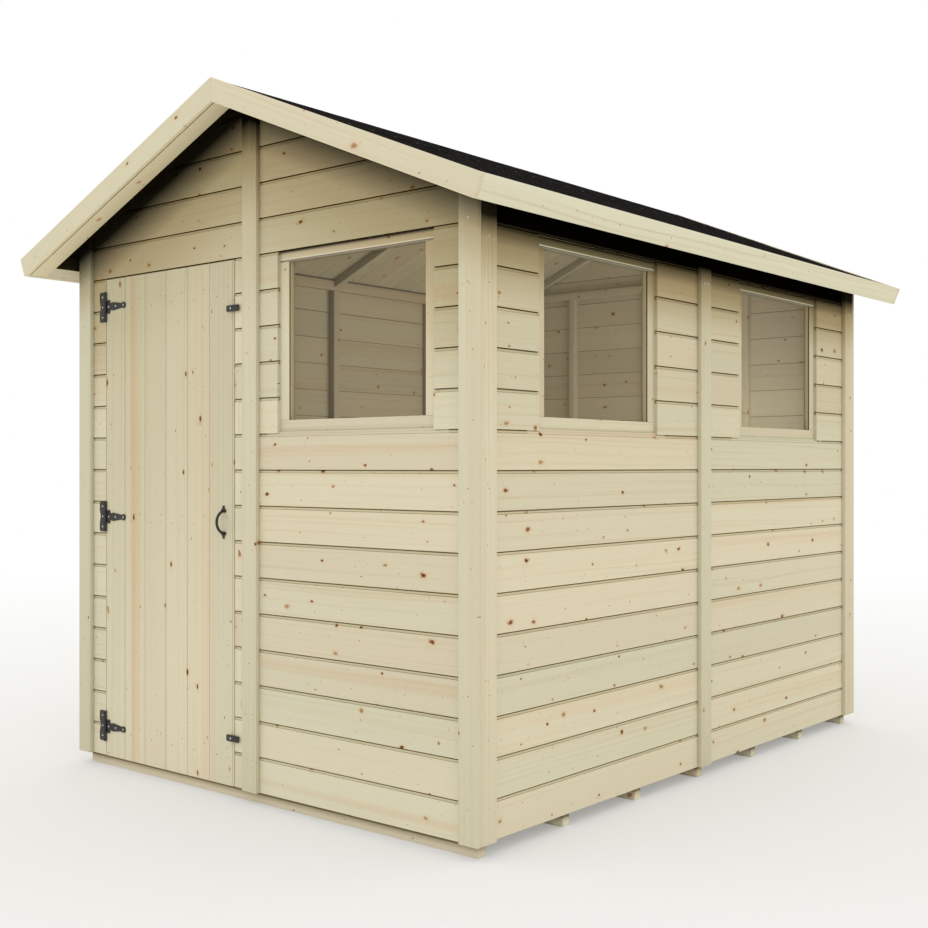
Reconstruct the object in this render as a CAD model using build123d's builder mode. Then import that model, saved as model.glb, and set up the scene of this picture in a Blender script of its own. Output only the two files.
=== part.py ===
"""Garden shed: a gable-roofed timber shed with a boarded door and three fixed windows."""
import os
from math import cos, radians, sin, tan

from build123d import *

os.makedirs("parts", exist_ok=True)

# Driving dimensions in millimetres. X runs across the front, Y from front to back, Z up from the ground.

# Main box of the shed, over the faces of the cladding
core_width = 1829.0
core_length = 2438.0
cladding_bottom = 40.0
cladding = 12.0
course = 112.7
sill_courses = 10
head_courses = 15
panel_joint = 2.0

# Timber stock
framing = 34.0
trim_width = 68.0
trim_thickness = 16.0

# Floor
bearer_width = 34.0
bearer_height = 44.0
bearer_count = 7
floor_thickness = 12.0
floor_inset = 8.0

# Roof
roof_pitch = 22.75
eaves_rise = 123.25
eaves_reach = 152.5
verge_reach = 169.0
felt_drop = 2.0
felt_thickness = 2.5
roof_board = 11.0
roof_rail_width = 66.0
tie_rise = 8.0

# Windows
window_middle_margin = 116.5
window_corner_margin = 155.0
near_window_shift = 5.5
far_window_shift = 21.5
jamb_width = 68.0
jamb_show = 40.0
head_height = 34.0
sill_height = 41.0
glass_set_back = 20.0
glass_thickness = 3.0

# Doorway and door
hinge_stub = 126.5
latch_stub = 85.0
door_gap = 5.0
ledge_inset = 30.0
brace_foot = 80.0

# Hinges
hinge_foot = 104.0
hinge_head = 96.0
hinge_height = 106.0
hinge_plate_width = 37.0
hinge_thickness = 3.0
knuckle_radius = 5.0
knuckle_length = 34.0
knuckle_gap = 1.0
pin_radius = 2.5
pin_clearance = 0.1
plate_corner_share = 0.25
plate_scallop = 5.0
plate_scallop_radius = 42.0
strap_length = 114.0
strap_root_length = 18.0
strap_root_height = 48.0
strap_corner_share = 0.4
strap_waist = 23.0
strap_shoulder_run = 44.0
strap_shoulder = 29.0
strap_neck = 13.0
strap_eye_radius = 11.0

# Pull handle
handle_inset = 50.0
handle_rise = 845.0
handle_height = 107.0
handle_stand_off = 28.0
handle_bar_radius = 4.5
handle_bar_sides = 8
handle_foot_spread = 24.0
handle_lobe_radius = 5.5
handle_tip_radius = 4.0
handle_tip_length = 17.0
handle_foot_thickness = 4.0

# Turn buttons
button_inset = 155.0
button_edge = 7.0
button_tail = 21.0
button_reach = 38.0
button_width = 20.0
button_corner = 3.0
button_thickness = 4.0
button_boss_radius = 6.0
button_stand_off = 5.0
seat_clearance = 0.3

# Levels and faces that follow from the sizes above
half_width = core_width / 2
half_length = core_length / 2
inner_width = half_width - cladding
inner_length = half_length - cladding
frame_width = inner_width - framing
frame_length = inner_length - framing
half_joint = panel_joint / 2
half_trim = trim_width / 2
half_framing = framing / 2
window_foot = cladding_bottom + sill_courses * course
wall_head = cladding_bottom + head_courses * course
panel_middle = half_length / 2
floor_top = bearer_height + floor_thickness
rail_top = floor_top + framing

pitch = radians(roof_pitch)
half_roof = half_width + eaves_reach
verge_face = half_length + verge_reach
verge_back = verge_face - trim_thickness
slope_end = half_roof / cos(pitch)
slope_back = slope_end - trim_thickness
felt_depth = felt_drop + felt_thickness
board_depth = felt_depth + roof_board
ridge_height = wall_head + eaves_rise + half_width * tan(pitch) + board_depth / cos(pitch)
rafter_drop = framing / cos(pitch)


def slope_point(sign, run, depth):
    """Point of a roof section: run down the slope from the ridge, depth square to it below the barge's top."""
    return sign * (run * cos(pitch) - depth * sin(pitch)), ridge_height - run * sin(pitch) - depth * cos(pitch)


def ridge_point(depth):
    """Point of a roof layer on the middle plane of the shed."""
    return 0, ridge_height - depth / cos(pitch)


def under_roof(x):
    """Height of the roof boards' underside at a distance x from the middle plane."""
    return ridge_height - board_depth / cos(pitch) - abs(x) * tan(pitch)


def slope_section(sign, top, bottom, end):
    """Draws the section of a roof layer between two depths, mitred at the ridge and cut square at its end."""
    Polygon(ridge_point(top), slope_point(sign, end, top), slope_point(sign, end, bottom), ridge_point(bottom),
            align=None)


def board(left, right, low, high):
    """Draws a rectangle between two sides and two levels."""
    with Locations(((left + right) / 2, (low + high) / 2)):
        Rectangle(right - left, high - low)


def gable_board(left, right, low):
    """Draws an upright piece whose top is cut to the roof boards' underside on one slope."""
    Polygon((left, low), (right, low), (right, under_roof(right)), (left, under_roof(left)), align=None)


def side_section(sign, inner, outer, low):
    """Draws the section of a side wall's piece, with its top bevelled to the roof boards' underside."""
    Polygon((sign * inner, low), (sign * outer, low), (sign * outer, under_roof(outer)),
            (sign * inner, under_roof(inner)), align=None)


def save(builder, name):
    """Labels a finished sub-part and writes it."""
    builder.part.label = name
    export_step(builder.part, f"parts/{name}.step")


sides = (("left", -1), ("right", 1))
ends = (("front", -1), ("back", 1))
front_face = Plane.XZ.offset(half_length)
front_inner = Plane.XZ.offset(inner_length)
back_inner = Plane.XZ.offset(-inner_length)
right_inner = Plane.YZ.offset(inner_width)

# Floor bearers, the pieces that the shed rests on
first_bearer = inner_length - floor_inset - bearer_width / 2
bearer_pitch = 2 * first_bearer / (bearer_count - 1)
with BuildPart() as floor_bearers:
    with BuildSketch():
        with GridLocations(inner_width, bearer_pitch, 1, bearer_count):
            Rectangle(2 * inner_width, bearer_width)
    extrude(amount=bearer_height)
save(floor_bearers, "floor_bearers")

with BuildPart() as floor_boards:
    with BuildSketch(Plane.XY.offset(bearer_height)):
        Rectangle(2 * inner_width, 2 * (inner_length - floor_inset))
    extrude(amount=floor_thickness)
save(floor_boards, "floor_boards")

# Front wall: cladding beside the doorway, the gable over door and window, and the window panel
doorway_left = -half_width + hinge_stub
doorway_right = -latch_stub
window_left = window_middle_margin
window_right = half_width - window_corner_margin
window_width = window_right - window_left
front_window_centre = (window_left + window_right) / 2
with BuildPart() as front_wall_beside_door:
    with BuildSketch(front_face):
        board(-half_width, doorway_left, cladding_bottom, wall_head)
        board(doorway_right, -half_joint, cladding_bottom, wall_head)
    extrude(amount=-cladding)
save(front_wall_beside_door, "front_wall_beside_door")

with BuildPart() as front_gable:
    with BuildSketch(front_face):
        gable_board(-half_width, -half_joint, wall_head)
        gable_board(half_joint, half_width, wall_head)
    extrude(amount=-cladding)
save(front_gable, "front_gable")

with BuildPart() as front_wall_under_window:
    with BuildSketch(front_face):
        board(half_joint, half_width, cladding_bottom, window_foot)
    extrude(amount=-cladding)
save(front_wall_under_window, "front_wall_under_window")

with BuildPart() as front_wall_beside_window:
    with BuildSketch(front_face):
        board(half_joint, window_left, window_foot, wall_head)
        board(window_right, half_width, window_foot, wall_head)
    extrude(amount=-cladding)
save(front_wall_beside_window, "front_wall_beside_window")

# Back wall: two plain gable panels
with BuildPart() as back_wall:
    with BuildSketch(back_inner):
        gable_board(-half_width, -half_joint, cladding_bottom)
        gable_board(half_joint, half_width, cladding_bottom)
    extrude(amount=-cladding)
save(back_wall, "back_wall")

# Right wall: two window panels
near_window_centre = -panel_middle - near_window_shift
far_window_centre = panel_middle - far_window_shift
near_left = near_window_centre - window_width / 2
near_right = near_window_centre + window_width / 2
far_left = far_window_centre - window_width / 2
far_right = far_window_centre + window_width / 2
with BuildPart() as right_wall_under_windows:
    with BuildSketch(right_inner):
        board(-inner_length, -half_joint, cladding_bottom, window_foot)
        board(half_joint, inner_length, cladding_bottom, window_foot)
    extrude(amount=cladding)
save(right_wall_under_windows, "right_wall_under_windows")

with BuildPart() as right_wall_beside_windows:
    with BuildSketch(right_inner):
        board(-inner_length, near_left, window_foot, wall_head)
        board(near_right, -half_joint, window_foot, wall_head)
        board(half_joint, far_left, window_foot, wall_head)
        board(far_right, inner_length, window_foot, wall_head)
    extrude(amount=cladding)
save(right_wall_beside_windows, "right_wall_beside_windows")

panel_starts = (-half_joint, inner_length)
panel_planes = [Plane.XZ.offset(-start) for start in panel_starts]
panel_length = inner_length - half_joint
with BuildPart() as right_wall_over_windows:
    with BuildSketch(*panel_planes):
        side_section(1, inner_width, half_width, wall_head)
    extrude(amount=panel_length)
save(right_wall_over_windows, "right_wall_over_windows")

# Left wall: two plain panels
with BuildPart() as left_wall:
    with BuildSketch(*panel_planes):
        side_section(-1, inner_width, half_width, cladding_bottom)
    extrude(amount=panel_length)
save(left_wall, "left_wall")

# Framing of the side walls: a rail on the floor, a rail under the roof and studs between them
side_rail_foot = under_roof(inner_width) - framing
stud_row = inner_length - half_framing
stud_places = {"left": (-stud_row, -panel_middle, 0, panel_middle, stud_row), "right": (-stud_row, 0, stud_row)}
for side, sign in sides:
    with BuildPart() as side_rails:
        with BuildSketch(Plane.XZ.offset(inner_length)):
            board(min(sign * frame_width, sign * inner_width), max(sign * frame_width, sign * inner_width),
                  floor_top, rail_top)
            side_section(sign, frame_width, inner_width, side_rail_foot)
        extrude(amount=-2 * inner_length)
    save(side_rails, f"{side}_rails")

    with BuildPart() as side_studs:
        with BuildSketch(Plane.XY.offset(rail_top)):
            with Locations(*[(sign * (frame_width + half_framing), place) for place in stud_places[side]]):
                Rectangle(framing, framing)
        extrude(amount=side_rail_foot - rail_top)
    save(side_studs, f"{side}_studs")

# Framing of the front wall: rails on the floor beside the doorway, a header over door and window, studs
with BuildPart() as front_rails:
    with BuildSketch(front_inner):
        board(-frame_width, doorway_left, floor_top, rail_top)
        board(doorway_right, frame_width, floor_top, rail_top)
        board(-frame_width, frame_width, wall_head, wall_head + framing)
    extrude(amount=-framing)
save(front_rails, "front_rails")

front_stud_places = (-frame_width + half_framing, doorway_left - half_framing, doorway_right + half_framing,
                     half_joint + half_framing, frame_width - half_framing)
with BuildPart() as front_studs:
    with BuildSketch(Plane.XY.offset(rail_top)):
        with Locations(*[(place, -stud_row) for place in front_stud_places]):
            Rectangle(framing, framing)
    extrude(amount=wall_head - rail_top)
save(front_studs, "front_studs")

# Framing of the back wall: its upper rail lies at the level of the eaves and ends under the sloping rails
tie_foot = under_roof(inner_width) + tie_rise
tie_half_foot = (under_roof(0) - rafter_drop - tie_foot) / tan(pitch)
tie_half_top = tie_half_foot - framing / tan(pitch)
with BuildPart() as back_rails:
    with BuildSketch(back_inner):
        board(-frame_width, frame_width, floor_top, rail_top)
        Polygon((-tie_half_foot, tie_foot), (tie_half_foot, tie_foot), (tie_half_top, tie_foot + framing),
                (-tie_half_top, tie_foot + framing), align=None)
    extrude(amount=framing)
save(back_rails, "back_rails")

back_middle_studs = (-half_width / 2, -half_joint - half_framing, half_joint + half_framing, half_width / 2)
with BuildPart() as back_studs:
    with BuildSketch(Plane.XY.offset(rail_top)):
        with Locations(*[(place, stud_row) for place in back_middle_studs]):
            Rectangle(framing, framing)
    extrude(amount=tie_foot - rail_top)
    with BuildSketch(Plane.XY.offset(rail_top)):
        with Locations((-frame_width + half_framing, stud_row), (frame_width - half_framing, stud_row)):
            Rectangle(framing, framing)
    extrude(amount=side_rail_foot - rail_top)
save(back_studs, "back_studs")

# Windows: each has two jambs between a sill and a head, all behind the cladding, and a pane
window_planes = [
    Plane(origin=(front_window_centre, -inner_length, 0), x_dir=(1, 0, 0), z_dir=(0, -1, 0)),
    Plane(origin=(inner_width, near_window_centre, 0), x_dir=(0, 1, 0), z_dir=(1, 0, 0)),
    Plane(origin=(inner_width, far_window_centre, 0), x_dir=(0, 1, 0), z_dir=(1, 0, 0)),
]
daylight_half = window_width / 2 - jamb_show
window_half = daylight_half + jamb_width
daylight_foot = window_foot + sill_height
daylight_head = wall_head - head_height
with BuildPart() as window_jambs:
    with BuildSketch(*window_planes):
        board(-window_half, -daylight_half, daylight_foot, daylight_head)
        board(daylight_half, window_half, daylight_foot, daylight_head)
    extrude(amount=-framing)
save(window_jambs, "window_jambs")

with BuildPart() as window_heads:
    with BuildSketch(*window_planes):
        board(-window_half, window_half, daylight_head, wall_head)
    extrude(amount=-framing)
save(window_heads, "window_heads")

with BuildPart() as window_sills:
    with BuildSketch(*window_planes):
        board(-window_half, window_half, window_foot, daylight_foot)
    extrude(amount=-framing)
save(window_sills, "window_sills")

with BuildPart() as window_panes:
    with BuildSketch(*[plane.offset(-glass_set_back) for plane in window_planes]):
        board(-daylight_half, daylight_half, daylight_foot, daylight_head)
    extrude(amount=-glass_thickness)
save(window_panes, "window_panes")

# Strips on the gable ends: two corner strips that cover the ends of the side strips, and a cover strip
corner_edge = half_width + trim_thickness
for end, sign in ends:
    strip_plane = Plane.XZ.offset(-sign * half_length + (trim_thickness if sign < 0 else 0))
    with BuildPart() as gable_strips:
        with BuildSketch(strip_plane):
            gable_board(-corner_edge, -corner_edge + trim_width, cladding_bottom)
            gable_board(corner_edge - trim_width, corner_edge, cladding_bottom)
            Polygon((-half_trim, cladding_bottom), (half_trim, cladding_bottom), (half_trim, under_roof(half_trim)),
                    (0, under_roof(0)), (-half_trim, under_roof(half_trim)), align=None)
        extrude(amount=-trim_thickness)
    save(gable_strips, f"{end}_strips")

# Strips on the side walls: two corner strips and a cover strip
strip_starts = (-half_length, -half_trim, half_length - trim_width)
for side, sign in sides:
    with BuildPart() as side_strips:
        with BuildSketch(*[Plane.XZ.offset(-start) for start in strip_starts]):
            side_section(sign, half_width, corner_edge, cladding_bottom)
        extrude(amount=-trim_width)
    save(side_strips, f"{side}_strips")

# Roof: boards and felt between the barge boards, barge boards and fascias round the edge, rafters below
for side, sign in sides:
    with BuildPart() as roof_boards:
        with BuildSketch(Plane.XZ.offset(verge_back)):
            slope_section(sign, felt_depth, board_depth, slope_back)
        extrude(amount=-2 * verge_back)
    save(roof_boards, f"roof_boards_{side}")

    with BuildPart() as roof_felt:
        with BuildSketch(Plane.XZ.offset(verge_back)):
            slope_section(sign, felt_drop, felt_depth, slope_back)
        extrude(amount=-2 * verge_back)
    save(roof_felt, f"roof_felt_{side}")

    with BuildPart() as barge_boards:
        with BuildSketch(Plane.XZ.offset(verge_face), Plane.XZ.offset(-verge_back)):
            slope_section(sign, 0, trim_width, slope_end)
        extrude(amount=-trim_thickness)
    save(barge_boards, f"{side}_barge_boards")

    with BuildPart() as rafters:
        with BuildSketch(Plane.XZ.offset(verge_back), Plane.XZ.offset(roof_rail_width - verge_back)):
            slope_section(sign, board_depth, trim_width, slope_back)
        extrude(amount=-roof_rail_width)
        with BuildSketch(front_inner, Plane.XZ.offset(half_framing), Plane.XZ.offset(-frame_length)):
            Polygon((0, under_roof(0)), (sign * frame_width, under_roof(frame_width)),
                    (sign * frame_width, under_roof(frame_width) - rafter_drop), (0, under_roof(0) - rafter_drop),
                    align=None)
        extrude(amount=-framing)
    save(rafters, f"{side}_rafters")

with BuildPart() as eaves_fascias:
    with BuildSketch(Plane.XZ.offset(verge_back)):
        for side, sign in sides:
            Polygon(slope_point(sign, slope_back, 0), slope_point(sign, slope_end, 0),
                    slope_point(sign, slope_end, trim_width), slope_point(sign, slope_back, trim_width), align=None)
    extrude(amount=-2 * verge_back)
save(eaves_fascias, "eaves_fascias")

eaves_rail_start = slope_back - roof_rail_width
with BuildPart() as eaves_rails:
    with BuildSketch(Plane.XZ.offset(verge_back - roof_rail_width)):
        for side, sign in sides:
            Polygon(slope_point(sign, eaves_rail_start, board_depth), slope_point(sign, slope_back, board_depth),
                    slope_point(sign, slope_back, trim_width), slope_point(sign, eaves_rail_start, trim_width),
                    align=None)
    extrude(amount=-2 * (verge_back - roof_rail_width))
save(eaves_rails, "eaves_rails")

# Door: a leaf of boards, three ledges behind it at the hinges and two braces between them
door_left = doorway_left + door_gap
door_right = doorway_right - door_gap
door_foot = cladding_bottom
door_head = wall_head - door_gap
low_hinge = door_foot + hinge_foot
high_hinge = door_head - hinge_head
hinge_levels = (low_hinge, (low_hinge + high_hinge) / 2, high_hinge)
ledge_left = door_left + ledge_inset
ledge_right = door_right - ledge_inset
with BuildPart() as door_leaf:
    with BuildSketch(front_face):
        board(door_left, door_right, door_foot, door_head)
    extrude(amount=-cladding)
save(door_leaf, "door_leaf")

with BuildPart() as door_ledges:
    with BuildSketch(front_inner):
        for level in hinge_levels:
            board(ledge_left, ledge_right, level - half_trim, level + half_trim)
    extrude(amount=-trim_thickness)
save(door_ledges, "door_ledges")

with BuildPart() as door_braces:
    with BuildSketch(front_inner):
        for lower, upper in zip(hinge_levels[:-1], hinge_levels[1:]):
            brace_low = lower + half_trim
            brace_high = upper - half_trim
            Polygon((ledge_left, brace_low), (ledge_left + brace_foot, brace_low), (ledge_right, brace_high),
                    (ledge_right - brace_foot, brace_high), align=None)
    extrude(amount=-trim_thickness)
save(door_braces, "door_braces")

# T hinges: the plate, its two knuckles and the pin stay on the wall, the strap and its knuckle swing
hinge_x = doorway_left + door_gap / 2
hinge_y = -half_length - knuckle_radius - seat_clearance
knuckle_reach = knuckle_radius + knuckle_gap
plate_reach = hinge_plate_width - knuckle_reach
half_knuckle = knuckle_length / 2
half_hinge = hinge_height / 2
outer_knuckle = half_hinge - half_knuckle - knuckle_gap
outer_knuckle_centre = half_hinge - outer_knuckle / 2
hinge_axes = [Plane.XY.offset(level) for level in hinge_levels]
hinge_faces = [Plane(origin=(hinge_x, -half_length, level), x_dir=(1, 0, 0), z_dir=(0, -1, 0))
               for level in hinge_levels]
with BuildPart() as hinge_plates:
    with BuildSketch(*hinge_faces):
        with Locations((-knuckle_reach - plate_reach / 2, 0)):
            RectangleRounded(plate_reach, hinge_height, plate_reach * plate_corner_share)
        with Locations((plate_scallop - hinge_plate_width - plate_scallop_radius, 0)):
            Circle(plate_scallop_radius, mode=Mode.SUBTRACT)
        with Locations((-knuckle_reach, outer_knuckle_centre), (-knuckle_reach, -outer_knuckle_centre)):
            Rectangle(2 * knuckle_reach, outer_knuckle)
    extrude(amount=hinge_thickness)
    with BuildSketch(*[plane.offset(-half_hinge) for plane in hinge_axes],
                     *[plane.offset(half_hinge - outer_knuckle) for plane in hinge_axes]):
        with Locations((hinge_x, hinge_y)):
            Circle(knuckle_radius)
    extrude(amount=outer_knuckle)
    with BuildSketch(*[plane.offset(-half_hinge) for plane in hinge_axes]):
        with Locations((hinge_x, hinge_y)):
            Circle(pin_radius)
    extrude(amount=hinge_height)
save(hinge_plates, "hinge_plates")

strap_eye = strap_length - strap_eye_radius
strap_root_end = knuckle_reach + strap_root_length
strap_half_outline = [(knuckle_reach, strap_waist / 2), (strap_root_end, strap_waist / 2),
                      (strap_shoulder_run, strap_shoulder / 2), (strap_eye, strap_neck / 2)]
with BuildPart() as hinge_straps:
    with BuildSketch(*hinge_faces):
        with Locations((knuckle_reach + strap_root_length / 2, 0)):
            RectangleRounded(strap_root_length, strap_root_height, strap_root_length * strap_corner_share)
        Polygon(*strap_half_outline, *[(run, -half) for run, half in reversed(strap_half_outline)], align=None)
        with Locations((strap_eye, 0)):
            Circle(strap_eye_radius)
        with Locations((knuckle_reach, 0)):
            Rectangle(2 * knuckle_reach, knuckle_length)
    extrude(amount=hinge_thickness)
    with BuildSketch(*[plane.offset(-half_knuckle) for plane in hinge_axes]):
        with Locations((hinge_x, hinge_y)):
            Circle(knuckle_radius)
    extrude(amount=knuckle_length)
    with BuildSketch(*[plane.offset(-half_knuckle) for plane in hinge_axes]):
        with Locations((hinge_x, hinge_y)):
            Circle(pin_radius + pin_clearance)
    extrude(amount=knuckle_length, mode=Mode.SUBTRACT)
save(hinge_straps, "hinge_straps")

# Pull handle: a bow between two pointed feet on the door
handle_x = door_right - handle_inset
handle_z = door_foot + handle_rise
foot_level = handle_height / 2 - handle_tip_length
lobe_place = handle_foot_spread / 2 - handle_lobe_radius
tip_place = handle_tip_length - handle_tip_radius
neck_half = handle_tip_radius / 2
bow_start = -half_length - handle_foot_thickness / 2
bow_plane = Plane(origin=(handle_x, bow_start, handle_z), x_dir=(0, -1, 0), z_dir=(1, 0, 0))
foot_plane = Plane(origin=(handle_x, -half_length, handle_z), x_dir=(0, 0, 1), z_dir=(0, -1, 0))
with BuildPart() as pull_handle:
    with BuildSketch(foot_plane):
        with PolarLocations(foot_level, 2):
            with Locations((0, lobe_place), (0, -lobe_place)):
                Circle(handle_lobe_radius)
            with Locations((tip_place, 0)):
                Circle(handle_tip_radius)
            Polygon((-handle_lobe_radius, -lobe_place), (handle_lobe_radius, -lobe_place), (tip_place, -neck_half),
                    (tip_place, neck_half), (handle_lobe_radius, lobe_place), (-handle_lobe_radius, lobe_place),
                    align=None)
    extrude(amount=handle_foot_thickness)
    with BuildLine(bow_plane) as bow:
        ThreePointArc((0, foot_level), (handle_stand_off, 0), (0, -foot_level))
    with BuildSketch(Plane(origin=bow.line @ 0, z_dir=bow.line % 0)):
        RegularPolygon(handle_bar_radius, handle_bar_sides)
    sweep()
save(pull_handle, "pull_handle")

# Turn buttons: a bar on a boss, screwed to the door beside its free edge, reaching over the wall
button_x = door_right - button_edge
button_face = -half_length - seat_clearance
for name, level in (("top", door_head - button_inset), ("bottom", door_foot + button_inset)):
    boss_plane = Plane(origin=(button_x, button_face, level), x_dir=(1, 0, 0), z_dir=(0, -1, 0))
    with BuildPart() as turn_button:
        with BuildSketch(boss_plane):
            Circle(button_boss_radius)
        extrude(amount=button_stand_off)
        with BuildSketch(boss_plane.offset(button_stand_off)):
            with Locations(((button_reach - button_tail) / 2, 0)):
                RectangleRounded(button_tail + button_reach, button_width, button_corner)
        extrude(amount=button_thickness)
    save(turn_button, f"turn_button_{name}")
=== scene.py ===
"""Garden shed: the finished looks of a boarded timber shed with a black felt roof."""

import logging
import math
import zlib
from collections.abc import Callable, Iterator, Sequence
from contextlib import contextmanager
from dataclasses import dataclass, field, replace
from enum import Enum
from functools import cached_property

import bmesh
import bpy
import numpy as np
from mathutils import Matrix, Vector


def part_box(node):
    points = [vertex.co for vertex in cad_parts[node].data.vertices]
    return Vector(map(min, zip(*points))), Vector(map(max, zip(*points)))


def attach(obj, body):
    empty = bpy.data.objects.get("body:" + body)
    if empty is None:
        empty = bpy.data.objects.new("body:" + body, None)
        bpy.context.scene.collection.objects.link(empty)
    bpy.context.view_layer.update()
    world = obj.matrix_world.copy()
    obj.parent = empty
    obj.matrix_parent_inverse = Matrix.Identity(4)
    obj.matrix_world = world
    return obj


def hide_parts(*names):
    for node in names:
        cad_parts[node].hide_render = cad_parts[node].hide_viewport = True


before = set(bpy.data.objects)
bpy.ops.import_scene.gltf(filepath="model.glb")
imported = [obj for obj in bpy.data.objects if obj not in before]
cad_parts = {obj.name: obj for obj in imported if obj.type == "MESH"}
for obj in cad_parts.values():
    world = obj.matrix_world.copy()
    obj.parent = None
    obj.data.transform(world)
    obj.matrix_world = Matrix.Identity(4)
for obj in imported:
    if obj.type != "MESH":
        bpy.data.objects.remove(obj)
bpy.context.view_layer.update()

MM = 0.001
X_AXIS = Vector((1, 0, 0))
Y_AXIS = Vector((0, 1, 0))
Z_AXIS = Vector((0, 0, 1))

log = logging.getLogger("garden_shed")

Colour = tuple[float, float, float]
Box = tuple[Vector, Vector]


class Body(Enum):
    """The bodies of the shed that move apart."""

    SHED = "shed"
    DOOR = "door"
    TOP_BUTTON = "turn_button_top"
    BOTTOM_BUTTON = "turn_button_bottom"


class Slot(Enum):
    """The finishes of the record that dress added pieces."""

    TIMBER = "timber"
    FELT = "felt"
    IRONWORK = "ironwork"


class Wall(Enum):
    """The four walls, each by the direction its boards run and the direction into the shed."""

    FRONT = (X_AXIS, Y_AXIS)
    RIGHT = (Y_AXIS, -X_AXIS)
    BACK = (-X_AXIS, -Y_AXIS)
    LEFT = (-Y_AXIS, X_AXIS)


class Solids:
    """Reads the separate solids of a packed node."""

    SAME_PLACE = 0.01 * MM

    @staticmethod
    def islands(points: np.ndarray, edges: np.ndarray) -> np.ndarray:
        """Numbers the connected pieces of a mesh.

        Args:
            points: Places of the mesh's points; points at one place count as joined.
            edges: Pairs of point numbers.

        Returns:
            The piece number of each point.
        """
        cells = np.round(points / Solids.SAME_PLACE).astype(np.int64)
        place = np.unique(cells, axis=0, return_inverse=True)[1].reshape(-1)
        pairs = place[edges]
        label = np.arange(len(points))
        while True:
            lower = label.copy()
            np.minimum.at(lower, pairs[:, 0], label[pairs[:, 1]])
            np.minimum.at(lower, pairs[:, 1], label[pairs[:, 0]])
            lower = lower[lower]
            if (lower == label).all():
                break
            label = lower
        return np.unique(label[place], return_inverse=True)[1]

    @staticmethod
    def of_mesh(mesh: bpy.types.Mesh) -> tuple[np.ndarray, np.ndarray, np.ndarray]:
        """Gives the points of a mesh, the ends of its edges and the piece number of each point."""
        points = np.empty(len(mesh.vertices) * 3)
        mesh.vertices.foreach_get("co", points)
        points = points.reshape(-1, 3)
        edges = np.empty(len(mesh.edges) * 2, int)
        mesh.edges.foreach_get("vertices", edges)
        edges = edges.reshape(-1, 2)
        return points, edges, Solids.islands(points, edges)

    @staticmethod
    def boxes(node: str) -> list[Box]:
        """Gives the box of each solid of a node, in order of their places."""
        points, _, label = Solids.of_mesh(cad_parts[node].data)
        found = [points[label == k] for k in range(label.max() + 1)]
        corners = sorted((tuple(p.min(0)), tuple(p.max(0))) for p in found)
        return [(Vector(low), Vector(high)) for low, high in corners]


@dataclass(frozen=True)
class Plan:
    """Main sizes of the shed in metres, read from the frame."""

    foot: float
    course: float
    wall_head: float
    half_width: float
    half_length: float
    cladding: float
    peak: float
    slope: float
    barge_top: float
    verge: float
    half_roof: float
    ridge_felt: float = 0.50

    @classmethod
    def from_frame(cls, courses_to_sill: int = 10) -> "Plan":
        """Measures the packed solids.

        Args:
            courses_to_sill: Boards between the foot of the wall and the window sills.

        Returns:
            The plan of the shed.
        """
        low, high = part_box("front_wall_under_window")
        gable_low, gable_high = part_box("front_gable")
        side_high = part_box("right_wall_over_windows")[1]
        joint = low.x
        slope = (gable_high.z - side_high.z) / (high.x - (high.y - low.y) - joint)
        barge_low, barge_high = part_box("right_barge_boards")
        return cls(foot=low.z, course=(high.z - low.z) / courses_to_sill, wall_head=gable_low.z,
                   half_width=high.x, half_length=-low.y, cladding=high.y - low.y,
                   peak=gable_high.z + joint * slope, slope=slope, barge_top=barge_high.z,
                   verge=barge_high.y, half_roof=barge_high.x)

    @property
    def pitch(self) -> float:
        """Angle of the roof in radians."""
        return math.atan(self.slope)

    def fall(self, side: int) -> Vector:
        """Direction down one slope of the roof; side is -1 for left and 1 for right."""
        return Vector((side * math.cos(self.pitch), 0, -math.sin(self.pitch)))

    def roof_normal(self, side: int) -> Vector:
        """Direction square to one slope of the roof, pointing up."""
        return Vector((side * math.sin(self.pitch), 0, math.cos(self.pitch)))

    def roof_point(self, side: int, run: float, depth: float) -> Vector:
        """Point of a slope's section: run down from the ridge, depth square below the barge's top."""
        return Vector((0, 0, self.barge_top)) + self.fall(side) * run - self.roof_normal(side) * depth


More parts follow.
